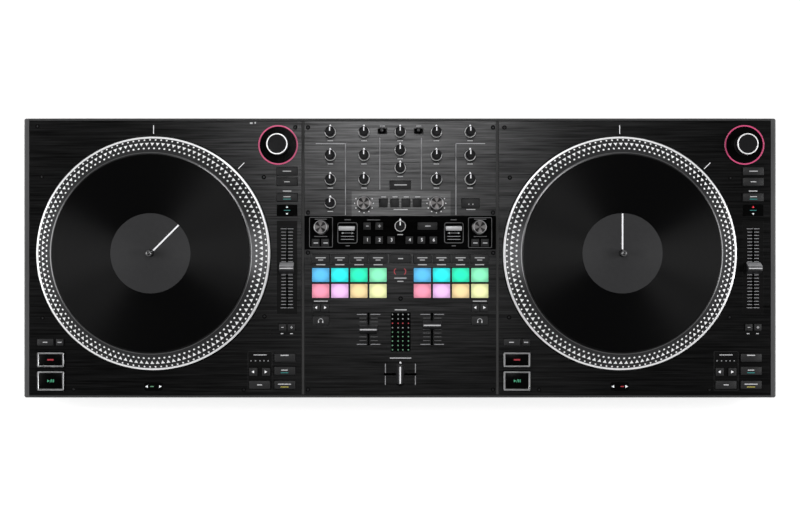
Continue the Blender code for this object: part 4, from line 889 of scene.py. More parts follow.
def makeRecordTree():
    # Lines of (radius, height) points swept round an axis
    tree, inside, outside, sockets = startTree("sweptRound", [
        ("Geometry", "Geometry", None), ("Sides", "Int", 192), ("Centre", "Vector", (0, 0, 0)),
        ("Material", "Material", None)])
    circle = addNode(tree, "GeometryNodeCurvePrimitiveCircle", {"Radius": 1 * mm})
    join(tree, inside.outputs["Sides"], circle.inputs["Resolution"])
    line = addNode(tree, "GeometryNodeMeshToCurve")
    join(tree, inside.outputs["Geometry"], line.inputs[0])
    swept = addNode(tree, "GeometryNodeCurveToMesh")
    join(tree, circle.outputs[0], swept.inputs["Curve"])
    join(tree, line.outputs[0], swept.inputs["Profile Curve"])
    welded = addNode(tree, "GeometryNodeMergeByDistance", {"Distance": 0.000001})
    join(tree, swept.outputs[0], welded.inputs["Geometry"])
    moved = addNode(tree, "GeometryNodeTransform")
    join(tree, welded.outputs[0], moved.inputs["Geometry"])
    join(tree, inside.outputs["Centre"], moved.inputs["Translation"])
    real = addNode(tree, "GeometryNodeRealizeInstances")
    join(tree, moved.outputs[0], real.inputs[0])
    finish = addNode(tree, "GeometryNodeSetMaterial")
    join(tree, real.outputs[0], finish.inputs["Geometry"])
    join(tree, inside.outputs["Material"], finish.inputs["Material"])
    join(tree, finish.outputs[0], outside.inputs[0])
    return tree, sockets


recordTree, recordSockets = makeRecordTree()


def recordProfile(radius, low, top):
    look = recordLook
    points = [(look["hole"], low), (look["hole"], top + look["labelRise"]),
              (look["label"], top + look["labelRise"]),
              (look["label"] + look["labelRise"], top), (look["runOut"], top)]
    start, end = look["runOut"] + look["bandGap"], radius - look["leadIn"]
    pitch = (end - start) / look["bands"]
    for band in range(look["bands"]):
        inner, outer = start + band * pitch, start + (band + 1) * pitch - look["bandGap"]
        points += [(inner, top), (inner + 0.2 * mm, top - look["ridge"]),
                   (outer - 0.2 * mm, top - look["ridge"]),
                   (outer, top)]
    return points + [(radius - look["edge"], top), (radius, top - look["edge"]), (radius, low)]


def recordFinish(side, centre, radius):
    look = recordLook
    material, tree, shader, place = startMaterial(side + "Vinyl", centre)
    texture = placeGroup(tree, turning, {"Rings": 3800.0, "Contrast": 0.5}, {"Vector": place})
    ring = texture.outputs["Radius"]
    paper = calculate(tree, "LESS_THAN", ring, look["label"] + 0.15 * mm)
    fibres = placeGroup(tree, grain, {"Scale": 260.0, "Contrast": 0.25}, {"Vector": place})
    label = tinted(tree, look["labelColor"], fibres.outputs["Shade"])
    vinyl = tinted(tree, look["vinyl"], texture.outputs["Shade"])
    join(tree, mixed(tree, paper, vinyl, label), shader.inputs["Base Color"])
    touch = placeGroup(tree, smudges, {"Scale": 25.0, "Low": 0.39, "High": 0.42}, {"Vector": place})
    join(tree, mixed(tree, paper, touch.outputs["Roughness"], 0.8), shader.inputs["Roughness"])
    grooves = calculate(tree, "MULTIPLY", texture.outputs["Height"],
                        calculate(tree, "SUBTRACT", 1.0, paper))
    shader.inputs["Specular IOR Level"].default_value = 0.1
    shader.inputs["Anisotropic"].default_value = 1.0
    shader.inputs["Anisotropic Rotation"].default_value = 0.25
    bumped(tree, shader, grooves, 0.012 * mm)
    return material


def makeRecord(side):
    low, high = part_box(side + "_record")
    centre = (low + high) / 2
    radius = (high.x - low.x) / 2
    points = recordProfile(radius, low.z, high.z - recordLook["labelRise"])
    line = bpy.data.meshes.new(side + "_record_line")
    # The sweep's circle is 1 mm wide, and its profile's second axis points down
    line.from_pydata([(r - 1 * mm, -z, 0) for r, z in points],
                     [(n, (n + 1) % len(points)) for n in range(len(points))], [])
    swept = grown(side + "_record_swept", recordTree, recordSockets, {
        "Sides": recordLook["sides"], "Centre": (centre.x, centre.y, 0),
        "Material": recordFinish(side, centre, radius)},
        line)
    bm = bmesh.new()
    bm.from_mesh(swept)
    mesh = meshFrom(bm, side + "_record_grooved", list(swept.materials), 30.0)
    bpy.data.meshes.remove(swept)
    mounted(linked(mesh.name, mesh), side + "_platter", side + "_record")
    # A white line from the spindle to the label's edge shows how far the record has turned
    width, length = recordLook["pointer"]
    turn = math.radians(recordLook["pointerTurn"][side])
    reach = recordLook["hole"] + 0.3 * mm + length / 2
    line = (centre.x - reach * math.sin(turn), centre.y + reach * math.cos(turn), high.z, width, length,
            printRise, turn)
    printMarks(side + "_record_pointer", [line], "ink", side + "_platter")


for side in decks:
    makeRecord(side)
print("records made")


# Small knobs: a black cap with grips, a polished collar, and a white pointer with an arrow-shaped tip

knobLook = {"sides": 96, "grips": 18, "gripDepth": 0.035, "cap": 4.65 * mm, "capTop": 4.5 * mm,
            "skirt": 5.4 * mm,
            "collar": 1.3 * mm, "collarTop": 2.3 * mm, "shaft": 3 * mm, "gap": 0.6 * mm, "dish": 0.25 * mm,
            "pointer": (0.95 * mm, 3.5 * mm), "tip": 6.9 * mm, "tipWidth": 2.3 * mm}


def gripRipple(count, depth, low, high):
    def ripple(height, angle):
        rise = min(1.0, max(0.0, (height - low) / (1.2 * mm)), max(0.0, (high - height) / (0.8 * mm)))
        return 1 - depth * rise * (0.5 + 0.5 * math.cos(count * angle)) ** 2
    return ripple


def addSlab(bm, corners, low, high, material=0):
    lower = [bm.verts.new((x, y, low)) for x, y in corners]
    upper = [bm.verts.new((x, y, high)) for x, y in corners]
    bridge(bm, lower, upper, material)
    bm.faces.new(upper).material_index = material
    bm.faces.new(lower[::-1]).material_index = material


def knobMesh(foot, top):
    look = knobLook
    base = panelTop + look["gap"]
    bm = bmesh.new()
    skirt = look["skirt"]
    shoulder = skirt - 0.3 * mm
    lathe(bm, [(0, foot), (look["shaft"], foot), (look["shaft"], base), (skirt, base),
               (skirt, base + 0.8 * mm),
               (shoulder, base + look["collar"])], look["sides"])
    lathe(bm, rounded([(shoulder, base + look["collar"]),
                       (shoulder - 0.2 * mm, base + look["collarTop"] - 0.2 * mm),
                       (look["cap"], base + look["collarTop"])], 0.2 * mm), look["sides"], material=1)
    wall = [(look["cap"], base + look["collarTop"]), (look["cap"], base + look["collarTop"] + 0.4 * mm)]
    wall += [(look["cap"] + (look["capTop"] - look["cap"]) * step / 6,
              base + look["collarTop"] + 0.4 * mm + (top - 0.6 * mm - base - look["collarTop"]) * step / 6)
             for step in range(1, 6)]
    wall += [(look["capTop"], top - 0.5 * mm), (look["capTop"] - 0.5 * mm, top),
             (look["capTop"] * 0.7, top - look["dish"]),
             (0, top - look["dish"])]
    lathe(bm, rounded(wall, 0.35 * mm, 2), look["sides"],
          ripple=gripRipple(look["grips"], look["gripDepth"], base + look["collarTop"], top - 0.4 * mm))
    width, length = look["pointer"]
    high = top + 0.06 * mm
    addSlab(bm, [(-width / 2, 0.3 * mm), (width / 2, 0.3 * mm), (width / 2, 0.3 * mm + length),
                 (-width / 2, 0.3 * mm + length)], top - look["dish"] - 0.1 * mm, high, 2)
    half, tip, edge = look["tipWidth"] / 2, look["tip"], skirt - 0.15 * mm
    addSlab(bm, [(-half, edge), (half, edge), (half * 0.3, tip), (-half * 0.3, tip)], base + 0.3 * mm,
            base + look["collar"], 2)
    return meshFrom(bm, "knob", [finishes["knob"], finishes["collar"], finishes["ink"]], 40.0)


smallKnobs = [name for name in frame["nodes"] if name.endswith("_knob") and "filter" not in name]
smallKnobs += [name for name in frame["nodes"] if "_effect_knob_" in name]
oneKnob = knobMesh(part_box("main_level_knob")[0].z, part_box("main_level_knob")[1].z)
for name in smallKnobs:
    mesh = oneKnob.copy()
    centre = middleOf(name)
    mesh.transform(Matrix.Translation((centre.x, centre.y, 0)))
    mounted(linked(name + "_turned", mesh), name, name)
bpy.data.meshes.remove(oneKnob)
print("small knobs made:", len(smallKnobs))


# Filter knobs and loop encoders: solid metal with a spun top

metalKnobLook = {"sides": 96, "skirt": 6.9 * mm, "cap": 6.3 * mm, "capTop": 6.0 * mm,
                 "skirtHeight": 1.6 * mm,
                 "edge": 0.5 * mm, "gap": 0.6 * mm, "shaft": 3 * mm, "grips": 40, "gripDepth": 0.025,
                 "color": (0.14, 0.133, 0.133)}
browseLook = {"sides": 128, "skirt": 9.9 * mm, "waist": 9.5 * mm, "ring": (8.7 * mm, 9.8 * mm),
              "step": 2.0 * mm,
              "gap": 0.6 * mm, "grips": 36, "gripDepth": 0.03}


def makeMetalKnob(name):
    look = metalKnobLook
    low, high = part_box(name)
    centre = (low + high) / 2
    base = panelTop + look["gap"]
    profile = [(0, low.z), (look["shaft"], low.z), (look["shaft"], base), (look["skirt"], base),
               (look["skirt"], base + look["skirtHeight"]),
               (look["cap"], base + look["skirtHeight"] + 0.3 * mm)]
    wall = [(look["cap"] + (look["capTop"] - look["cap"]) * step / 5,
             base + look["skirtHeight"] + 0.5 * mm + (high.z - base - look["skirtHeight"] - 1.2 * mm) * step / 5)
            for step in range(6)]
    top = [(look["capTop"], high.z - look["edge"]), (look["capTop"] - look["edge"], high.z),
           (look["capTop"] - 0.9 * mm, high.z - 0.15 * mm), (0, high.z - 0.15 * mm)]
    bm = bmesh.new()
    lathe(bm, rounded(profile + wall + top, 0.2 * mm, 2), look["sides"], centre,
          ripple=gripRipple(look["grips"], look["gripDepth"], base + look["skirtHeight"],
                            high.z - 0.6 * mm))
    # The cross of dark sectors on the spun top is a painted reflection of the lamps' sheen
    metal = turnedMetal(name + "Metal", look["color"], centre, 0.42, 0.5, 0.12, paintedSheenSectors=0.85)
    # The turned edge of the top stays bright
    mesh = meshFrom(bm, name + "_turned", [metal, finishes["satinBar"]], 40.0)
    for face in mesh.polygons:
        if face.center.z > high.z - 0.6 * mm and (face.center.xy - centre.xy).length > look["capTop"] - 0.55 * mm:
            face.material_index = 1
    mounted(linked(mesh.name, mesh), name, name)


def makeBrowseEncoder(side):
    look = browseLook
    name = side + "_browse_encoder"
    low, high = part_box(name)
    centre = (low + high) / 2
    base = bezelTop + look["gap"]
    # A black gripped wall, then a bright turned ring round a slightly sunk black top
    bm = bmesh.new()
    lathe(bm, rounded([(0, low.z), (3 * mm, low.z), (3 * mm, base), (look["skirt"], base),
                       (look["skirt"], base + look["step"]),
                       (look["waist"], base + look["step"] + 0.4 * mm)],
                      0.2 * mm), look["sides"], centre)
    inner, outer = look["ring"]
    foot, head = base + look["step"] + 0.4 * mm, high.z - 0.8 * mm
    wall = [(look["waist"] + (outer - look["waist"]) * step / 6, foot + (head - foot) * step / 6)
            for step in range(7)]
    lathe(bm, wall, look["sides"], centre, ripple=gripRipple(look["grips"], look["gripDepth"], foot, head))
    lathe(bm, rounded([(outer, head), (outer - 0.35 * mm, high.z), (inner, high.z),
                       (inner, high.z - 0.3 * mm)],
                      0.15 * mm), look["sides"], centre, 1)
    lathe(bm, [(inner, high.z - 0.3 * mm), (inner * 0.5, high.z - 0.42 * mm), (0, high.z - 0.45 * mm)],
          look["sides"],
          centre)
    mesh = meshFrom(bm, name + "_turned", [finishes["knob"], finishes["collar"]], 40.0)
    mounted(linked(mesh.name, mesh), name, name)


for name in ("left_filter_knob", "right_filter_knob", "left_loop_encoder", "right_loop_encoder"):
    makeMetalKnob(name)
for side in decks:
    makeBrowseEncoder(side)
print("metal knobs and browse encoders made")


# Browse bezels: a lit ring round a glossy disc, on the deck panel's round step

bezelLook = {"sides": 128, "disc": 17.15 * mm, "ring": (17.15 * mm, 18.45 * mm), "hole": 4.2 * mm,
             "rise": 0.15 * mm,
             "glow": 0.25 * mm}


def makeBezel(side):
    look = bezelLook
    centre = middleOf(side + "_browse_encoder")
    bm = bmesh.new()
    disc = [(look["hole"], bezelTop), (look["disc"], bezelTop), (look["disc"], bezelTop + look["rise"]),
            (look["hole"], bezelTop + look["rise"])]
    lathe(bm, disc, look["sides"], centre, loop=True)
    mesh = meshFrom(bm, side + "_bezel_disc", [finishes["gloss"]], 30.0)
    mounted(linked(mesh.name, mesh), "base")
    inner, outer = look["ring"]
    bm = bmesh.new()
    high = bezelTop + look["glow"]
    lathe(bm, rounded([(inner, bezelTop), (inner, high), (outer, high), (outer, panelTop),
                       (outer - 0.3 * mm, panelTop)],
                      0.2 * mm), look["sides"], centre)
    lathe(bm, [(outer - 0.3 * mm, panelTop), (outer - 0.3 * mm, bezelTop), (inner, bezelTop)],
          look["sides"], centre)
    mesh = meshFrom(bm, side + "_bezel_light", [finishes["pinkLamp"]], 30.0)
    mounted(linked(mesh.name, mesh), "base")


for side in decks:
    makeBezel(side)


# Keys, pads, fader caps and paddles: copies of the CAD solids, merged and with their edges rounded

def dressed(node, materials, bevel, segments=2, below=None, suffix="_rounded"):
    # Rounds the edges that reach the top, or all edges above the height below
    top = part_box(node)[1].z
    bm = bmesh.new()
    bm.from_mesh(frame["nodes"][node].data)
    bmesh.ops.remove_doubles(bm, verts=bm.verts, dist=0.002 * mm)
    bmesh.ops.dissolve_limit(bm, angle_limit=math.radians(1), verts=bm.verts, edges=bm.edges)
    chosen = []
    for edge in bm.edges:
        if not edge.is_manifold or edge.calc_face_angle(0) < math.radians(25):
            continue
        heights = [vert.co.z for vert in edge.verts]
        if max(heights) > top - 0.02 * mm or (below is not None and min(heights) > below):
            chosen.append(edge)
    bmesh.ops.bevel(bm, geom=chosen, offset=bevel, segments=segments, profile=0.5, affect="EDGES",
                    clamp_overlap=True)
    mesh = meshFrom(bm, node + suffix, materials, 40.0)
    piece = linked(node + suffix, mesh)
    body = next(name for name, nodes in frame["record"]["behaviour"]["bodies"].items() if node in nodes)
    return mounted(piece, body, node)


keyNodes = [name for name in frame["nodes"] if name.endswith(("_keys", "_key"))]
for name in keyNodes:
    dark = name.endswith(("_cue_key", "_play_key"))
    dressed(name, [finishes["darkKey" if dark else "key"]], 0.35 * mm)
for name in ("crossfader", "left_channel_fader", "right_channel_fader", "left_tempo_fader",
             "right_tempo_fader"):
    piece = dressed(name, [finishes["fader"], finishes["dimInk"]], 0.5 * mm,
                    below=panelTop + 0.3 * mm, segments=3)
    if "tempo" in name:
        # The rear slope of the tempo caps is painted a paler grey, a painted highlight where the slope faces the
        # rear lamp
        for face in piece.data.polygons:
            face.material_index = int(face.normal.y > 0.3 and face.normal.z > 0.05)
for side in decks:
    dressed(side + "_effect_paddle", [finishes["satinBar"]], 0.5 * mm, segments=3,
            below=panelTop + 0.3 * mm)
print("keys, faders and paddles dressed")


# Mini switches: a turned bat lever

switchLook = {"sides": 48, "neck": 1.05 * mm, "tip": 1.6 * mm, "ball": 2.6 * mm,
              "color": (0.07, 0.07, 0.072),
              "surround": (10.4, 6.6, 0.45)}


def makeSwitch(side):
    look = switchLook
    name = side + "_mini_switch"
    low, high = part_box(name)
    centre = (low + high) / 2
    pivot = low.z + look["ball"]
    angles = [math.pi - step * (math.pi - 0.45) / 8 for step in range(9)]
    ball = [(look["ball"] * math.sin(angle), pivot + look["ball"] * math.cos(angle)) for angle in angles]
    ball[0] = (0, low.z)
    lever = [(look["neck"], panelTop - 0.2 * mm), (look["tip"], high.z - look["tip"] * 1.6)]
    dome = [(look["tip"] * math.cos(angle), high.z - look["tip"] + look["tip"] * math.sin(angle))
            for angle in (step * math.pi / 12 for step in range(6))]
    bm = bmesh.new()
    lathe(bm, ball + rounded(lever + dome, 0.2 * mm, 1) + [(0, high.z)], look["sides"], centre)
    metal = turnedMetal(name + "Metal", look["color"], centre, 0.3, 0.3, 0.1)
    mounted(linked(name + "_turned", meshFrom(bm, name + "_turned", [metal], 40.0)), name,
            name)
    width, depth, line = (value * pixel for value in look["surround"])
    bm = bmesh.new()
    frameRing(bm, centre, (width, depth), line, panelTop, panelTop + 0.15 * mm, depth * 0.45)
    mounted(linked(name + "_surround", meshFrom(bm, name + "_surround", [finishes["edgeGrey"]], 30.0)),
            "base")


for side in decks:
    makeSwitch(side)


# Pads: each is lit in its own colour from below, softly brighter in the middle

padLook = {"rearRow": ((0.100, 0.545, 0.955), (0.010, 0.955, 0.960), (0.008, 0.955, 0.545),
                       (0.260, 0.955, 0.545)),
           "frontRow": ((0.985, 0.325, 0.465), (0.960, 0.560, 0.980), (0.965, 0.730, 0.370),
                        (0.930, 0.965, 0.480)),
           "glow": 0.22, "bevel": 0.7 * mm, "lit": 0.4 * mm}


def padFinish(side):
    low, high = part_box(side + "_pad_mat")
    middle = (low + high) / 2
    material, tree, shader, place = startMaterial(side + "PadSilicone", (low.x, middle.y))
    parts = addNode(tree, "ShaderNodeSeparateXYZ")
    join(tree, place, parts.inputs[0])
    width = high.x - low.x
    share = calculate(tree, "DIVIDE", parts.outputs[0], width)
    rows = []
    for colors in (padLook["rearRow"], padLook["frontRow"]):
        ramp = addNode(tree, "ShaderNodeValToRGB")
        ramp.color_ramp.interpolation = "CONSTANT"
        stops = ramp.color_ramp.elements
        while len(stops) < 4:
            stops.new(0.5)
        for number, color in enumerate(colors):
            stops[number].position = number / 4
            stops[number].color = (*color, 1)
        join(tree, share, ramp.inputs["Fac"])
        rows.append(ramp.outputs["Color"])
    behind = calculate(tree, "GREATER_THAN", parts.outputs[1], 0.0)
    color = mixed(tree, behind, rows[1], rows[0])
    across = calculate(tree, "SUBTRACT", calculate(tree, "FRACT", calculate(tree, "MULTIPLY", share, 4.0)),
                       0.5)
    depth = (high.y - low.y) / 2
    along = calculate(tree, "SUBTRACT",
                      calculate(tree, "DIVIDE", calculate(tree, "ABSOLUTE", parts.outputs[1]),
                                depth), 0.5)
    away = calculate(tree, "ADD", calculate(tree, "MULTIPLY", across, across),
                     calculate(tree, "MULTIPLY", along, along))
    spot = addNode(tree, "ShaderNodeMapRange",
                   {"From Min": 0.0, "From Max": 0.26, "To Min": 0.86, "To Max": 0.5},
                   interpolation_type="SMOOTHSTEP")
    join(tree, away, spot.inputs["Value"])
    texture = placeGroup(tree, grain, {"Scale": 420.0, "Contrast": 0.06}, {"Vector": place})
    # The gaps between the pads stay dark
    raised = calculate(tree, "GREATER_THAN", parts.outputs[2], high.z - padLook["lit"])
    spotted = calculate(tree, "MULTIPLY", spot.outputs["Result"], calculate(tree, "MAXIMUM", raised, 0.01))
    shaded = tinted(tree, tinted(tree, color, spotted), texture.outputs["Shade"])
    join(tree, shaded, shader.inputs["Base Color"])
    join(tree, shaded, shader.inputs["Emission Color"])
    shader.inputs["Emission Strength"].default_value = padLook["glow"]
    touch = placeGroup(tree, smudges, {"Scale": 60.0, "Low": 0.5, "High": 0.65}, {"Vector": place})
    join(tree, touch.outputs["Roughness"], shader.inputs["Roughness"])
    bumped(tree, shader, texture.outputs["Height"], 0.03 * mm)
    return material


for side in decks:
    dressed(side + "_pad_mat", [padFinish(side)], padLook["bevel"], segments=3)
print("switches and pads made")


# Marks on the decks

deckMarks = {
    "dashes": [(133.4, 62.3, 8.5, 1.0), (128.4, -80.2, 2.6, 0.9), (137.8, -80.2, 2.6, 0.9),
               (106.4, -101.5, 13.0, 0.8)],
    "icon": [(97.6, 130.2, 2.6, 1.6), (101.6, 130.6, 1.4, 1.8)],
    "dots": [(97.4, -107.4, 1.2, 1.2), (101.9, -107.4, 1.2, 1.2), (106.4, -107.4, 1.2, 1.2),
             (110.3, -107.4, 1.2, 1.2), (114.5, -107.4, 1.2, 1.2)],
    "radial": (119.5, 128.2, (45.0, 90.0), 0.7),
    "tickRows": 25, "tickPitch": 3.29, "tickMiddle": -14.9, "tick": (4.7, 0.55), "tickOffset": 3.4,
}


def deckPrint(side):
    look = deckMarks
    words = look["dashes"] + (look["icon"] if side == "left" else [])
    printMarks(side + "_deck_words",
               [mark(onDeck(side, x, y), (width, depth)) for x, y, width, depth in words],
               "keyInk", "base")
    marks = []
    inner, outer, angles, width = look["radial"]
    for degrees in angles:
        angle = math.radians(degrees)
        middle = (inner + outer) / 2
        place = onDeck(side, middle * math.cos(angle), middle * math.sin(angle))
        marks.append(mark(place, (outer - inner, width), turn=angle))
    printMarks(side + "_deck_print", marks, "ink", "base")
    dots = [mark(onDeck(side, x, y), (width, depth)) for x, y, width, depth in look["dots"]]
    printMarks(side + "_deck_dots", dots, "dimInk", "base", "dot")
    ticks = []
    for row in range(look["tickRows"]):
        up = look["tickMiddle"] + (row - (look["tickRows"] - 1) / 2) * look["tickPitch"]
        length = look["tick"][0] * (1.25 if row in (0, 12, 24) else 1)
        ticks += [mark(onDeck(side, 133.4 + sign * look["tickOffset"], up), (length, look["tick"][1]))
                  for sign in (-1, 1)]
    printMarks(side + "_tempo_ticks", ticks, "dimInk", "base")


screwLook = {"cup": 2.1 * mm, "head": 1.0 * mm, "rise": 0.3 * mm, "places": [
    (295.3, 127.6), (263.9, 177.4), (42.0, 177.0), (264.5, 316.6), (42.7, 318.1), (73.6, 389.3),
    (243.8, 390.0),
    (37.6, 126.6), (504.4, 127.8), (509.8, 177.9), (730.4, 178.4), (509.0, 317.5), (729.5, 317.5),
    (539.0, 390.0),
    (709.5, 390.0), (308.0, 127.7), (493.0, 127.7), (308.0, 212.8), (493.0, 212.9), (308.0, 252.9),
    (493.2, 253.2),
    (308.0, 389.7), (493.0, 389.7), (400.6, 298.7)]}


def makeScrews():
    points = bpy.data.meshes.new("screw_points")
    points.from_pydata([(*onPanel(x, y), panelTop + 0.02 * mm) for x, y in screwLook["places"]], [], [])
    mesh = grown("panel_screws", screwTree, screwSockets, {
        "Cup Radius": screwLook["cup"], "Head Radius": screwLook["head"], "Rise": screwLook["rise"],
        "Cup": finishes["recess"], "Head": finishes["darkSteel"]}, points)
    mounted(linked(mesh.name, mesh), "base")


def deckPlates(side):
    # A thin frame round the corner plate, and the glossy windows of the display and the lamp plate
    bm = bmesh.new()
    windows = ((133.4, 42.9, 20.6, 11.4, 0.8), (0.0, -133.0, 18.5, 8.7, 2.2))
    for across, up, width, depth, corner in windows:
        plate(bm, onDeck(side, across, up), (width * pixel, depth * pixel), panelTop, panelTop + 0.5 * mm,
              corner * pixel, 0.2 * mm)
    mesh = meshFrom(bm, side + "_deck_windows", [finishes["gloss"]], 30.0)
    mounted(linked(mesh.name, mesh), "base")
    bm = bmesh.new()
    frameRing(bm, onDeck(side, 106.4, -117.5), (24.4 * pixel, 39.0 * pixel), 0.35 * pixel, panelTop,
              panelTop + 0.12 * mm, 1.2 * pixel)
    mesh = meshFrom(bm, side + "_deck_frames", [finishes["key"]], 30.0)
    mounted(linked(mesh.name, mesh), "base")
    high = panelTop + 0.5 * mm
    arrows = [mark(onDeck(side, -6.5, -133.0), (2.8, 3.0), high, math.pi / 2),
              mark(onDeck(side, 6.5, -133.0), (2.8, 3.0), high, -math.pi / 2),
              mark(onDeck(side, 133.4, 39.6), (2.4, 2.0), high, math.pi)]
    upper = mark(onDeck(side, 133.4, 46.2), (2.4, 2.0), high)
    if side == "left":
        arrows.append(upper)
    else:
        printMarks("right_window_red_arrow", [upper], "redLamp", "base", "arrow")
    printMarks(side + "_window_arrows", arrows, "whiteLamp", "base", "arrow")
    printMarks(side + "_window_line", [mark(onDeck(side, 133.4, 43.0), (6.5, 0.7), high)], "tealLamp",
               "base")
    lamp = mark(onDeck(side, -1.5 if side == "left" else 2.5, -133.0), (3.4, 0.9), high)
    printMarks(side + "_window_lamp", [lamp], "meterGreen" if side == "left" else "meterRed", "base")


def deckKeyMarks(side):
    body = side + "_deck_keys"
    white = [(133.4, 82.1, 8.5, 0.8), (133.4, 71.5, 5.5, 0.8), (133.4, 56.6, 7.0, 0.8),
             (128.9, -73.9, 2.4, 0.7),
             (137.9, -73.9, 2.4, 0.7), (137.9, -73.9, 0.7, 2.4), (106.1, -131.3, 5.0, 1.0),
             (131.0, -101.8, 8.0, 1.1), (131.0, -116.6, 6.5, 1.0), (131.0, -130.6, 13.0, 1.0)]
    marks = [mark(onDeck(side, x, y), (width, depth), keyTop) for x, y, width, depth in white]
    printMarks(side + "_key_marks", marks, "keyInk", body)
    marks = [mark(onDeck(side, x, -88.8), (width, 0.9), keyTop)
             for x, width in ((-108.2, 4.6), (-93.7, 4.0))]
    printMarks(side + "_sync_marks", marks, "keyInk", side + "_sync_keys")
    arrows = [mark(onDeck(side, 99.8, -118.3), (3.0, 2.8), keyTop, math.pi / 2),
              mark(onDeck(side, 112.0, -118.3), (3.0, 2.8), keyTop, -math.pi / 2)]
    printMarks(side + "_key_arrows", arrows, "ink", body, "arrow")
    printMarks(side + "_key_teal", [mark(onDeck(side, 133.4, 54.2), (7.5, 0.8), keyTop),
                                    mark(onDeck(side, 131.0, -119.2), (7.5, 0.8), keyTop)], "tealLamp",
               body)
    printMarks(side + "_key_yellow", [mark(onDeck(side, 131.0, -133.4), (8.0, 0.8), keyTop)], "yellowLamp",
               body)


def transportMarks(side):
    # Silver frames on the cue and play keys, and their lit signs
    for key in ("cue", "play"):
        node = "%s_%s_key" % (side, key)
        middle = middleOf(node)
        low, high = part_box(node)
        size = (high.x - low.x - 2.8 * mm, high.y - low.y - 2.8 * mm)
        bm = bmesh.new()
        frameRing(bm, middle, size, 1.3 * mm, keyTop - 0.3 * mm, keyTop + 0.22 * mm, 0.9 * mm, 0.18 * mm)
        mesh = meshFrom(bm, node + "_frame", [finishes["silver"]], 30.0)
        mounted(linked(mesh.name, mesh), node)
    cue, play = middleOf(side + "_cue_key"), middleOf(side + "_play_key")
    printMarks(side + "_cue_sign", [mark(cue, (6.4, 1.5), keyTop)], "cueLamp", side + "_cue_key")
    printMarks(side + "_play_sign", [mark((play.x - 2.2 * mm, play.y), (2.8, 2.8), keyTop, -math.pi / 2)],
               "playLamp",
               side + "_play_key", "arrow")
    bars = [mark((play.x + shift, play.y), (0.8, 2.8), keyTop) for shift in (1.4 * mm, 2.9 * mm)]
    bars.append(mark((play.x + 0.1 * mm, play.y), (0.5, 3.4), keyTop, -0.35))
    printMarks(side + "_pause_sign", bars, "playLamp", side + "_play_key")


makeScrews()
for side in decks:
    deckPrint(side)
    deckPlates(side)
    deckKeyMarks(side)
    transportMarks(side)
print("deck marks made")


# Marks on the mixer, by their pixels in the photograph

mixerMarks = {
    "lines": [(331.0, 143.8, 30.3, 0.8), (345.5, 179.5, 0.8, 71.4), (470.4, 143.8, 29.3, 0.8),
              (455.9, 179.5, 0.8, 71.4),
              (379.8, 163.9, 0.8, 51.6), (421.4, 163.9, 0.8, 51.6)],
    "labels": [(382.5, 126.3, 5.0, 0.8), (418.7, 126.3, 5.0, 0.8), (400.6, 358.2, 21.4, 0.9),
               (400.7, 310.0, 12.0, 0.9),
               (383.8, 197.1, 5.0, 0.8), (395.0, 197.1, 5.0, 0.8), (406.2, 197.1, 5.0, 0.8),
               (417.7, 197.1, 5.0, 0.8),
               (400.6, 209.7, 14.0, 0.8), (470.8, 209.7, 9.0, 0.8), (400.4, 278.3, 12.0, 0.9),
               (400.4, 281.5, 6.0, 0.9),
               (320.9, 301.3, 14.0, 0.9), (479.8, 301.3, 14.0, 0.9)],
    "stripLabels": [(320.8, 219.4, 12.0, 0.8), (320.8, 236.7, 13.0, 0.8), (480.2, 219.4, 12.0, 0.8),
                    (480.2, 236.7, 13.0, 0.8), (347.7, 220.0, 6.0, 0.9), (347.7, 246.0, 4.0, 0.9),
                    (453.7, 220.0, 6.0, 0.9), (453.7, 246.0, 4.0, 0.9), (373.7, 220.1, 13.0, 0.8)],
    "dividers": [(330.5, 258.8, 0.6, 8.0), (349.7, 258.8, 0.6, 8.0), (388.7, 258.8, 0.6, 8.0),
                 (432.4, 258.8, 0.6, 8.0),
                 (451.6, 258.8, 0.6, 8.0), (412.4, 258.8, 0.6, 8.0)],
    "knobLabels": 8.5, "channelTicks": 9, "channelPitch": 3.74, "channelMiddle": 329.5,
}


def mixerPrint():
    look = mixerMarks
    marks = [mark(onPanel(x, y), (width, depth)) for x, y, width, depth in look["lines"]]
    words = [mark(onPanel(x, y), (width, depth)) for x, y, width, depth in look["labels"]]
    faint = [mark(onPanel(x, y), (width, depth))
             for x, y, width, depth in look["dividers"] + look["stripLabels"]]
    for name in smallKnobs:
        centre = middleOf(name)
        words.append(mark((centre.x, centre.y - look["knobLabels"] * pixel), (5.5, 0.8)))
    for side in (-1, 1):
        for column in range(4):
            x = middleOf("mixer_panel").x + side * (0.1156 + 0.0998 * column) * 178.2 * mm
            words.append(mark((x, onPanel(0, 264.9)[1]), (9.0, 1.0)))
        fader = 400.4 + side * 31.8
        for row in range(look["channelTicks"]):
            y = look["channelMiddle"] + (row - 4) * look["channelPitch"]
            reach = 11.8 if row in (0, 8) else 9.2
            ticks = [mark(onPanel(fader + sign * (2.0 + reach) / 2, y), (reach - 2.0, 0.6))
                     for sign in (-1, 1)]
            (marks if row in (0, 8) else faint).extend(ticks)
        marks += [mark(onPanel(400.4 + side * 15.0, y), (0.8, 9.0)) for y in (368.5, 380.5)]
    printMarks("mixer_print", marks, "dimInk", "base")
    printMarks("mixer_words", words, "keyInk", "base")
    printMarks("mixer_faint_print", faint, "faintInk", "base")
    printMarks("crossfader_sign", [mark(onPanel(400.4, 362.9), (2.6, 2.4))], "ink", "base", "arrow")
    # Two small red arcs that face each other
    arc = [mark(onPanel(400.0 + sign * (2.6 + 3.2 * math.cos(angle)), 271.7 - 3.2 * math.sin(angle)),
                (1.0, 0.7),
                turn=math.pi / 2 + angle * sign) for sign in (-1, 1)
           for angle in (-0.9, -0.6, -0.3, 0.0, 0.3, 0.6, 0.9)]
    printMarks("beam_signs", arc, "meterRed", "base")


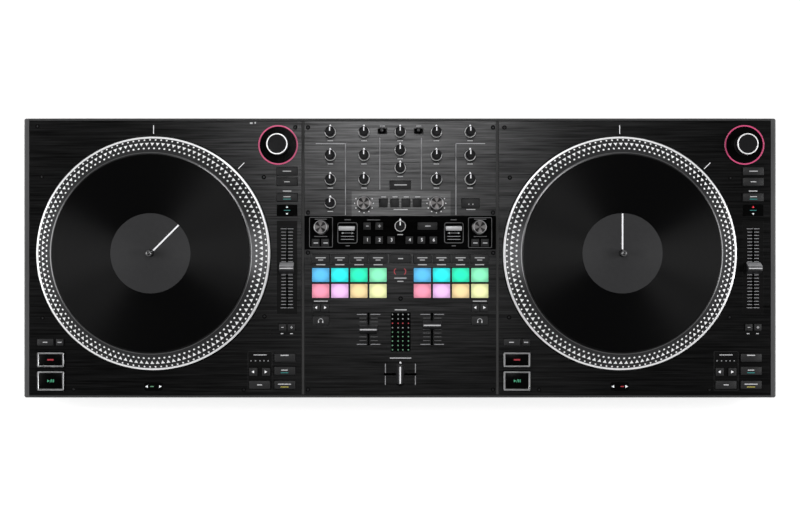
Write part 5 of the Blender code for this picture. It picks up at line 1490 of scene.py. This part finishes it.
def filterDots():
    dots = []
    for side in decks:
        centre = middleOf(side + "_filter_knob")
        for step in range(11):
            angle = math.radians(-240 + step * 30)
            if 35 < math.degrees(angle) % 360 < 145:
                continue
            reach = 9.4 * pixel
            dots.append(mark((centre.x + reach * math.cos(angle), centre.y + reach * math.sin(angle)),
                             (1.2, 1.2)))
    printMarks("filter_dots", dots, "ink", "base", "dot")


def stripFrames():
    frames = [(321.05, 232.45, 23.7, 30.5, 0.7, 1.5), (480.05, 232.8, 23.9, 30.6, 0.7, 1.5),
              (347.5, 233.1, 20.2, 21.2, 0.8, 2.5), (453.85, 233.05, 19.5, 20.9, 0.8, 2.5)]
    bm = bmesh.new()
    for x, y, width, depth, line, corner in frames:
        frameRing(bm, onPanel(x, y), (width * pixel, depth * pixel), line * pixel, panelTop,
                  panelTop + 0.15 * mm,
                  corner * pixel)
    mesh = meshFrom(bm, "strip_frames", [finishes["edgeGrey"]], 30.0)
    mounted(linked(mesh.name, mesh), "base")
    lines, ends = [], []
    for x in (347.5, 453.8):
        # The arrows lie just in front of the opening that the paddle swings in
        lines += [mark(onPanel(x, y), (width, 0.5))
                  for y, width in ((233.2, 11.0), (236.6, 13.0), (239.6, 13.0))]
        ends += [mark(onPanel(x + sign * 4.8, 233.2), (1.8, 2.4), turn=-sign * math.pi / 2)
                 for sign in (-1, 1)]
    printMarks("paddle_lines", lines, "dimInk", "base")
    printMarks("paddle_arrows", ends, "ink", "base", "arrow")


meterLook = {"columns": (392.5, 398.1, 402.8, 408.4), "first": 314.6, "pitch": 4.42, "rows": 9,
             "window": (400.75, 332.15, 19.7, 39.1)}


def makeMeter():
    x, y, width, depth = meterLook["window"]
    bm = bmesh.new()
    plate(bm, onPanel(x, y), (width * pixel, depth * pixel), panelTop, panelTop + 0.35 * mm, 1.0 * pixel,
          0.15 * mm)
    mesh = meshFrom(bm, "meter_window", [finishes["gloss"]], 30.0)
    mounted(linked(mesh.name, mesh), "base")
    groups = {"meterWhite": [], "meterRed": [], "meterGreen": []}
    for row in range(meterLook["rows"]):
        kind = "meterRed" if row == 2 else ("meterGreen" if row > 3 else "meterWhite")
        for column in meterLook["columns"]:
            place = onPanel(column, meterLook["first"] + row * meterLook["pitch"])
            groups[kind].append(mark(place, (1.4, 1.4), panelTop + 0.35 * mm))
    for kind, marks in groups.items():
        printMarks(kind + "_lamps", marks, kind, "base", "dot")


mixerPrint()
filterDots()
stripFrames()
makeMeter()
print("mixer marks made")


# Fader lines

def faderLines():
    for name, along in (("crossfader", True), ("left_channel_fader", False), ("right_channel_fader", False),
                        ("left_tempo_fader", False), ("right_tempo_fader", False)):
        low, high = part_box(name)
        middle = (low + high) / 2
        length = ((high.y - low.y) if along else (high.x - low.x)) / pixel - 1.2
        size = (1.2, length) if along else (length, 1.2)
        printMarks(name + "_line", [mark(middle, size, high.z - 0.01 * mm)], "ink" if along else "keyInk",
                   name)


faderLines()


# Signs on the mixer's keys

def mixerKeySigns():
    body = "centre_mixer_keys"
    for number, (x, y) in enumerate(((367.5, 240.2), (379.6, 240.2), (391.6, 240.2), (409.8, 240.2),
                                     (421.8, 240.2),
                                     (433.8, 240.2)), 1):
        curve = bpy.data.curves.new("digit", "FONT")
        curve.body = str(number)
        curve.size = 4.6 * pixel
        curve.extrude = 0.04 * mm
        curve.align_x, curve.align_y = "CENTER", "CENTER"
        holder = linked("digit", curve)
        mesh = bpy.data.meshes.new_from_object(holder.evaluated_get(bpy.context.evaluated_depsgraph_get()))
        bpy.data.objects.remove(holder)
        bpy.data.curves.remove(curve)
        place = onPanel(x, y)
        mesh.transform(Matrix.Translation((place[0], place[1], keyTop + 0.04 * mm)))
        mesh.name = "digit_%d" % number
        mesh.materials.clear()
        mesh.materials.append(finishes["ink"])
        mounted(linked(mesh.name, mesh), body)
    signs = [(367.5, 226.3, 2.8, 0.7), (379.6, 226.3, 2.8, 0.7), (379.6, 226.3, 0.7, 2.8),
             (427.8, 226.3, 5.5, 0.9),
             (400.6, 185.2, 12.5, 0.9), (400.6, 258.8, 5.0, 0.9)]
    signs += [(x, 243.2, 4.5, 0.9) for x in (316.0, 325.8, 475.3, 485.0)]
    signs += [(x, 204.5, 0.8, 1.4) for x in (468.8, 472.8)]
    printMarks("centre_key_signs", [mark(onPanel(x, y), (w, d), keyTop) for x, y, w, d in signs], "keyInk",
               body)
    for side, sign in (("left", -1), ("right", 1)):
        marks = [mark(onPanel(400.2 + sign * (0.1156 + 0.0998 * column) * 178.2 * mm / pixel, y),
                      (width, 0.8), keyTop)
                 for column in range(4) for y, width in ((258.0, 10.0), (260.2, 5.0))]
        printMarks(side + "_mode_signs", marks, "keyInk", side + "_mixer_keys")
        middle = 400.2 + sign * 79.5
        arrows = [mark(onPanel(middle + shift, 307.7), (3.0, 2.8), keyTop, turn)
                  for shift, turn in ((-4.3, math.pi / 2), (4.3, -math.pi / 2))]
        printMarks(side + "_bank_arrows", arrows, "ink", side + "_mixer_keys", "arrow")
        # A headphone sign: a band over two ear pads
        phones = [mark(onPanel(middle + 2.2 * math.cos(angle), 321.0 - 2.2 * math.sin(angle)), (0.8, 0.55),
                       keyTop,
                       math.pi / 2 + angle) for angle in (0.2, 0.6, 1.0, 1.4, 1.75, 2.15, 2.55, 2.95)]
        phones += [mark(onPanel(middle + pad * 2.1, 322.0), (1.1, 1.9), keyTop) for pad in (-1, 1)]
        printMarks(side + "_headphone_sign", phones, "keyInk", side + "_mixer_keys")


mixerKeySigns()
print("key signs made")


# Light and floor

lightLook = {
    "rearSoftbox": {"place": (-0.02, 0.36, 1.38), "size": (0.28, 0.36), "power": 4.4},
    "leftSoftbox": {"place": (-1.25, 0.03, 0.85), "size": (0.75, 0.75), "power": 14.0},
    "rightSoftbox": {"place": (1.25, 0.03, 0.85), "size": (0.75, 0.75), "power": 14.0},
}
floorLook = {"color": (0.50, 0.50, 0.50), "backdrop": 0.64, "radius": 6.0}


def makeLights():
    for name, look in lightLook.items():
        data = bpy.data.lights.new(name, "AREA")
        data.shape = "RECTANGLE"
        data.size, data.size_y = look["size"]
        data.energy = look["power"]
        lamp = bpy.data.objects.new(name, data)
        lamp.location = look["place"]
        aim = Vector((0, 0, panelTop)) - Vector(look["place"])
        lamp.rotation_euler = aim.to_track_quat("-Z", "Y").to_euler()
        scene.collection.objects.link(lamp)


def makeWorld():
    # A pale horizon under a dark ceiling
    world = bpy.data.worlds.new("studio")
    scene.world = world
    world.use_nodes = True
    tree = world.node_tree
    background = tree.nodes["Background"]
    parts = addNode(tree, "ShaderNodeSeparateXYZ")
    join(tree, addNode(tree, "ShaderNodeTexCoord").outputs["Generated"], parts.inputs[0])
    ramp = addNode(tree, "ShaderNodeValToRGB")
    join(tree, parts.outputs[2], ramp.inputs["Fac"])
    stops = ramp.color_ramp.elements
    stops[0].position, stops[0].color = 0.50, (1, 1, 1, 1)
    stops[1].position, stops[1].color = 0.62, (0.02, 0.02, 0.02, 1)
    join(tree, ramp.outputs["Color"], background.inputs["Color"])
    background.inputs["Strength"].default_value = 1.0


def makeFloor():
    bm = bmesh.new()
    bmesh.ops.create_circle(bm, cap_ends=True, segments=96, radius=floorLook["radius"])
    mesh = bpy.data.meshes.new("floor")
    bm.to_mesh(mesh)
    bm.free()
    material, tree, shader, place = startMaterial("floorPaper")
    shader.inputs["Base Color"].default_value = (*floorLook["color"], 1)
    shader.inputs["Roughness"].default_value = 0.9
    shader.inputs["Specular IOR Level"].default_value = 0.0
    shader.inputs["Emission Color"].default_value = (1, 1, 1, 1)
    path = addNode(tree, "ShaderNodeLightPath")
    seen = calculate(tree, "MAXIMUM", path.outputs["Is Camera Ray"], path.outputs["Is Glossy Ray"])
    seen = calculate(tree, "MAXIMUM", seen, path.outputs["Is Transmission Ray"])
    join(tree, calculate(tree, "MULTIPLY", seen, floorLook["backdrop"]), shader.inputs["Emission Strength"])
    mesh.materials.append(material)
    linked("floor", mesh)


# Seams: a rubber strip fills each groove between the panels

seamLook = {"low": 1.4 * mm, "high": 0.5 * mm, "corner": 0.2 * mm}


def makeSeams():
    low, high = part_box("mixer_panel")
    edges = {"left": (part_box("left_deck_panel")[1].x, low.x),
             "right": (high.x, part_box("right_deck_panel")[0].x)}
    for side, (west, east) in edges.items():
        bm = bmesh.new()
        plate(bm, ((west + east) / 2, (low.y + high.y) / 2), (east - west, high.y - low.y),
              panelTop - seamLook["low"], panelTop - seamLook["high"], seamLook["corner"])
        mesh = meshFrom(bm, side + "_seam_strip", [finishes["rubber"]], 30.0)
        mounted(linked(mesh.name, mesh), "base")


# Rear sockets: turned nuts round the jacks and the power socket, a thin metal frame round the data port

socketLook = {"face": 129.8 * mm, "proud": 0.15 * mm, "height": 37.8 * mm, "nut": 1.1 * mm, "sides": 48,
              "round": ((-259.4, 3.2), (-239.4, 3.2), (-219.4, 3.2), (-199.4, 3.2), (214.5, 2.75)),
              "port": (194.5, 8.5, 7.8), "frame": 0.6 * mm}


def makeSockets():
    look = socketLook
    bm = bmesh.new()
    for x, bore in look["round"]:
        inner = bore * mm + 0.1 * mm
        outer = inner + look["nut"]
        lathe(bm, [(inner, 0), (inner, look["proud"]), (outer - 0.1 * mm, look["proud"]), (outer, 0)],
              look["sides"],
              (x * mm, 0), loop=True)
    x, width, height = (value * mm for value in look["port"])
    frameRing(bm, (x, 0), (width + 2 * look["frame"], height + 2 * look["frame"]), look["frame"], 0,
              look["proud"],
              0.6 * mm, 0.05 * mm)
    # Drawn flat, then stood up against the rear face
    turn = Matrix.Rotation(-math.pi / 2, 4, "X")
    bmesh.ops.transform(bm, matrix=Matrix.Translation((0, look["face"], look["height"])) @ turn,
                        verts=bm.verts)
    mesh = meshFrom(bm, "socket_nuts", [finishes["silver"]], 30.0)
    mounted(linked(mesh.name, mesh), "base")


def finishFeet():
    for name in frame["nodes"]:
        if name.startswith("foot_"):
            for holder in frame["nodes"][name].material_slots:
                holder.material = finishes["rubber"]


makeSeams()
makeSockets()
finishFeet()
print("seams, sockets and feet finished")

makeLights()
makeWorld()
makeFloor()
print("lights and floor made")
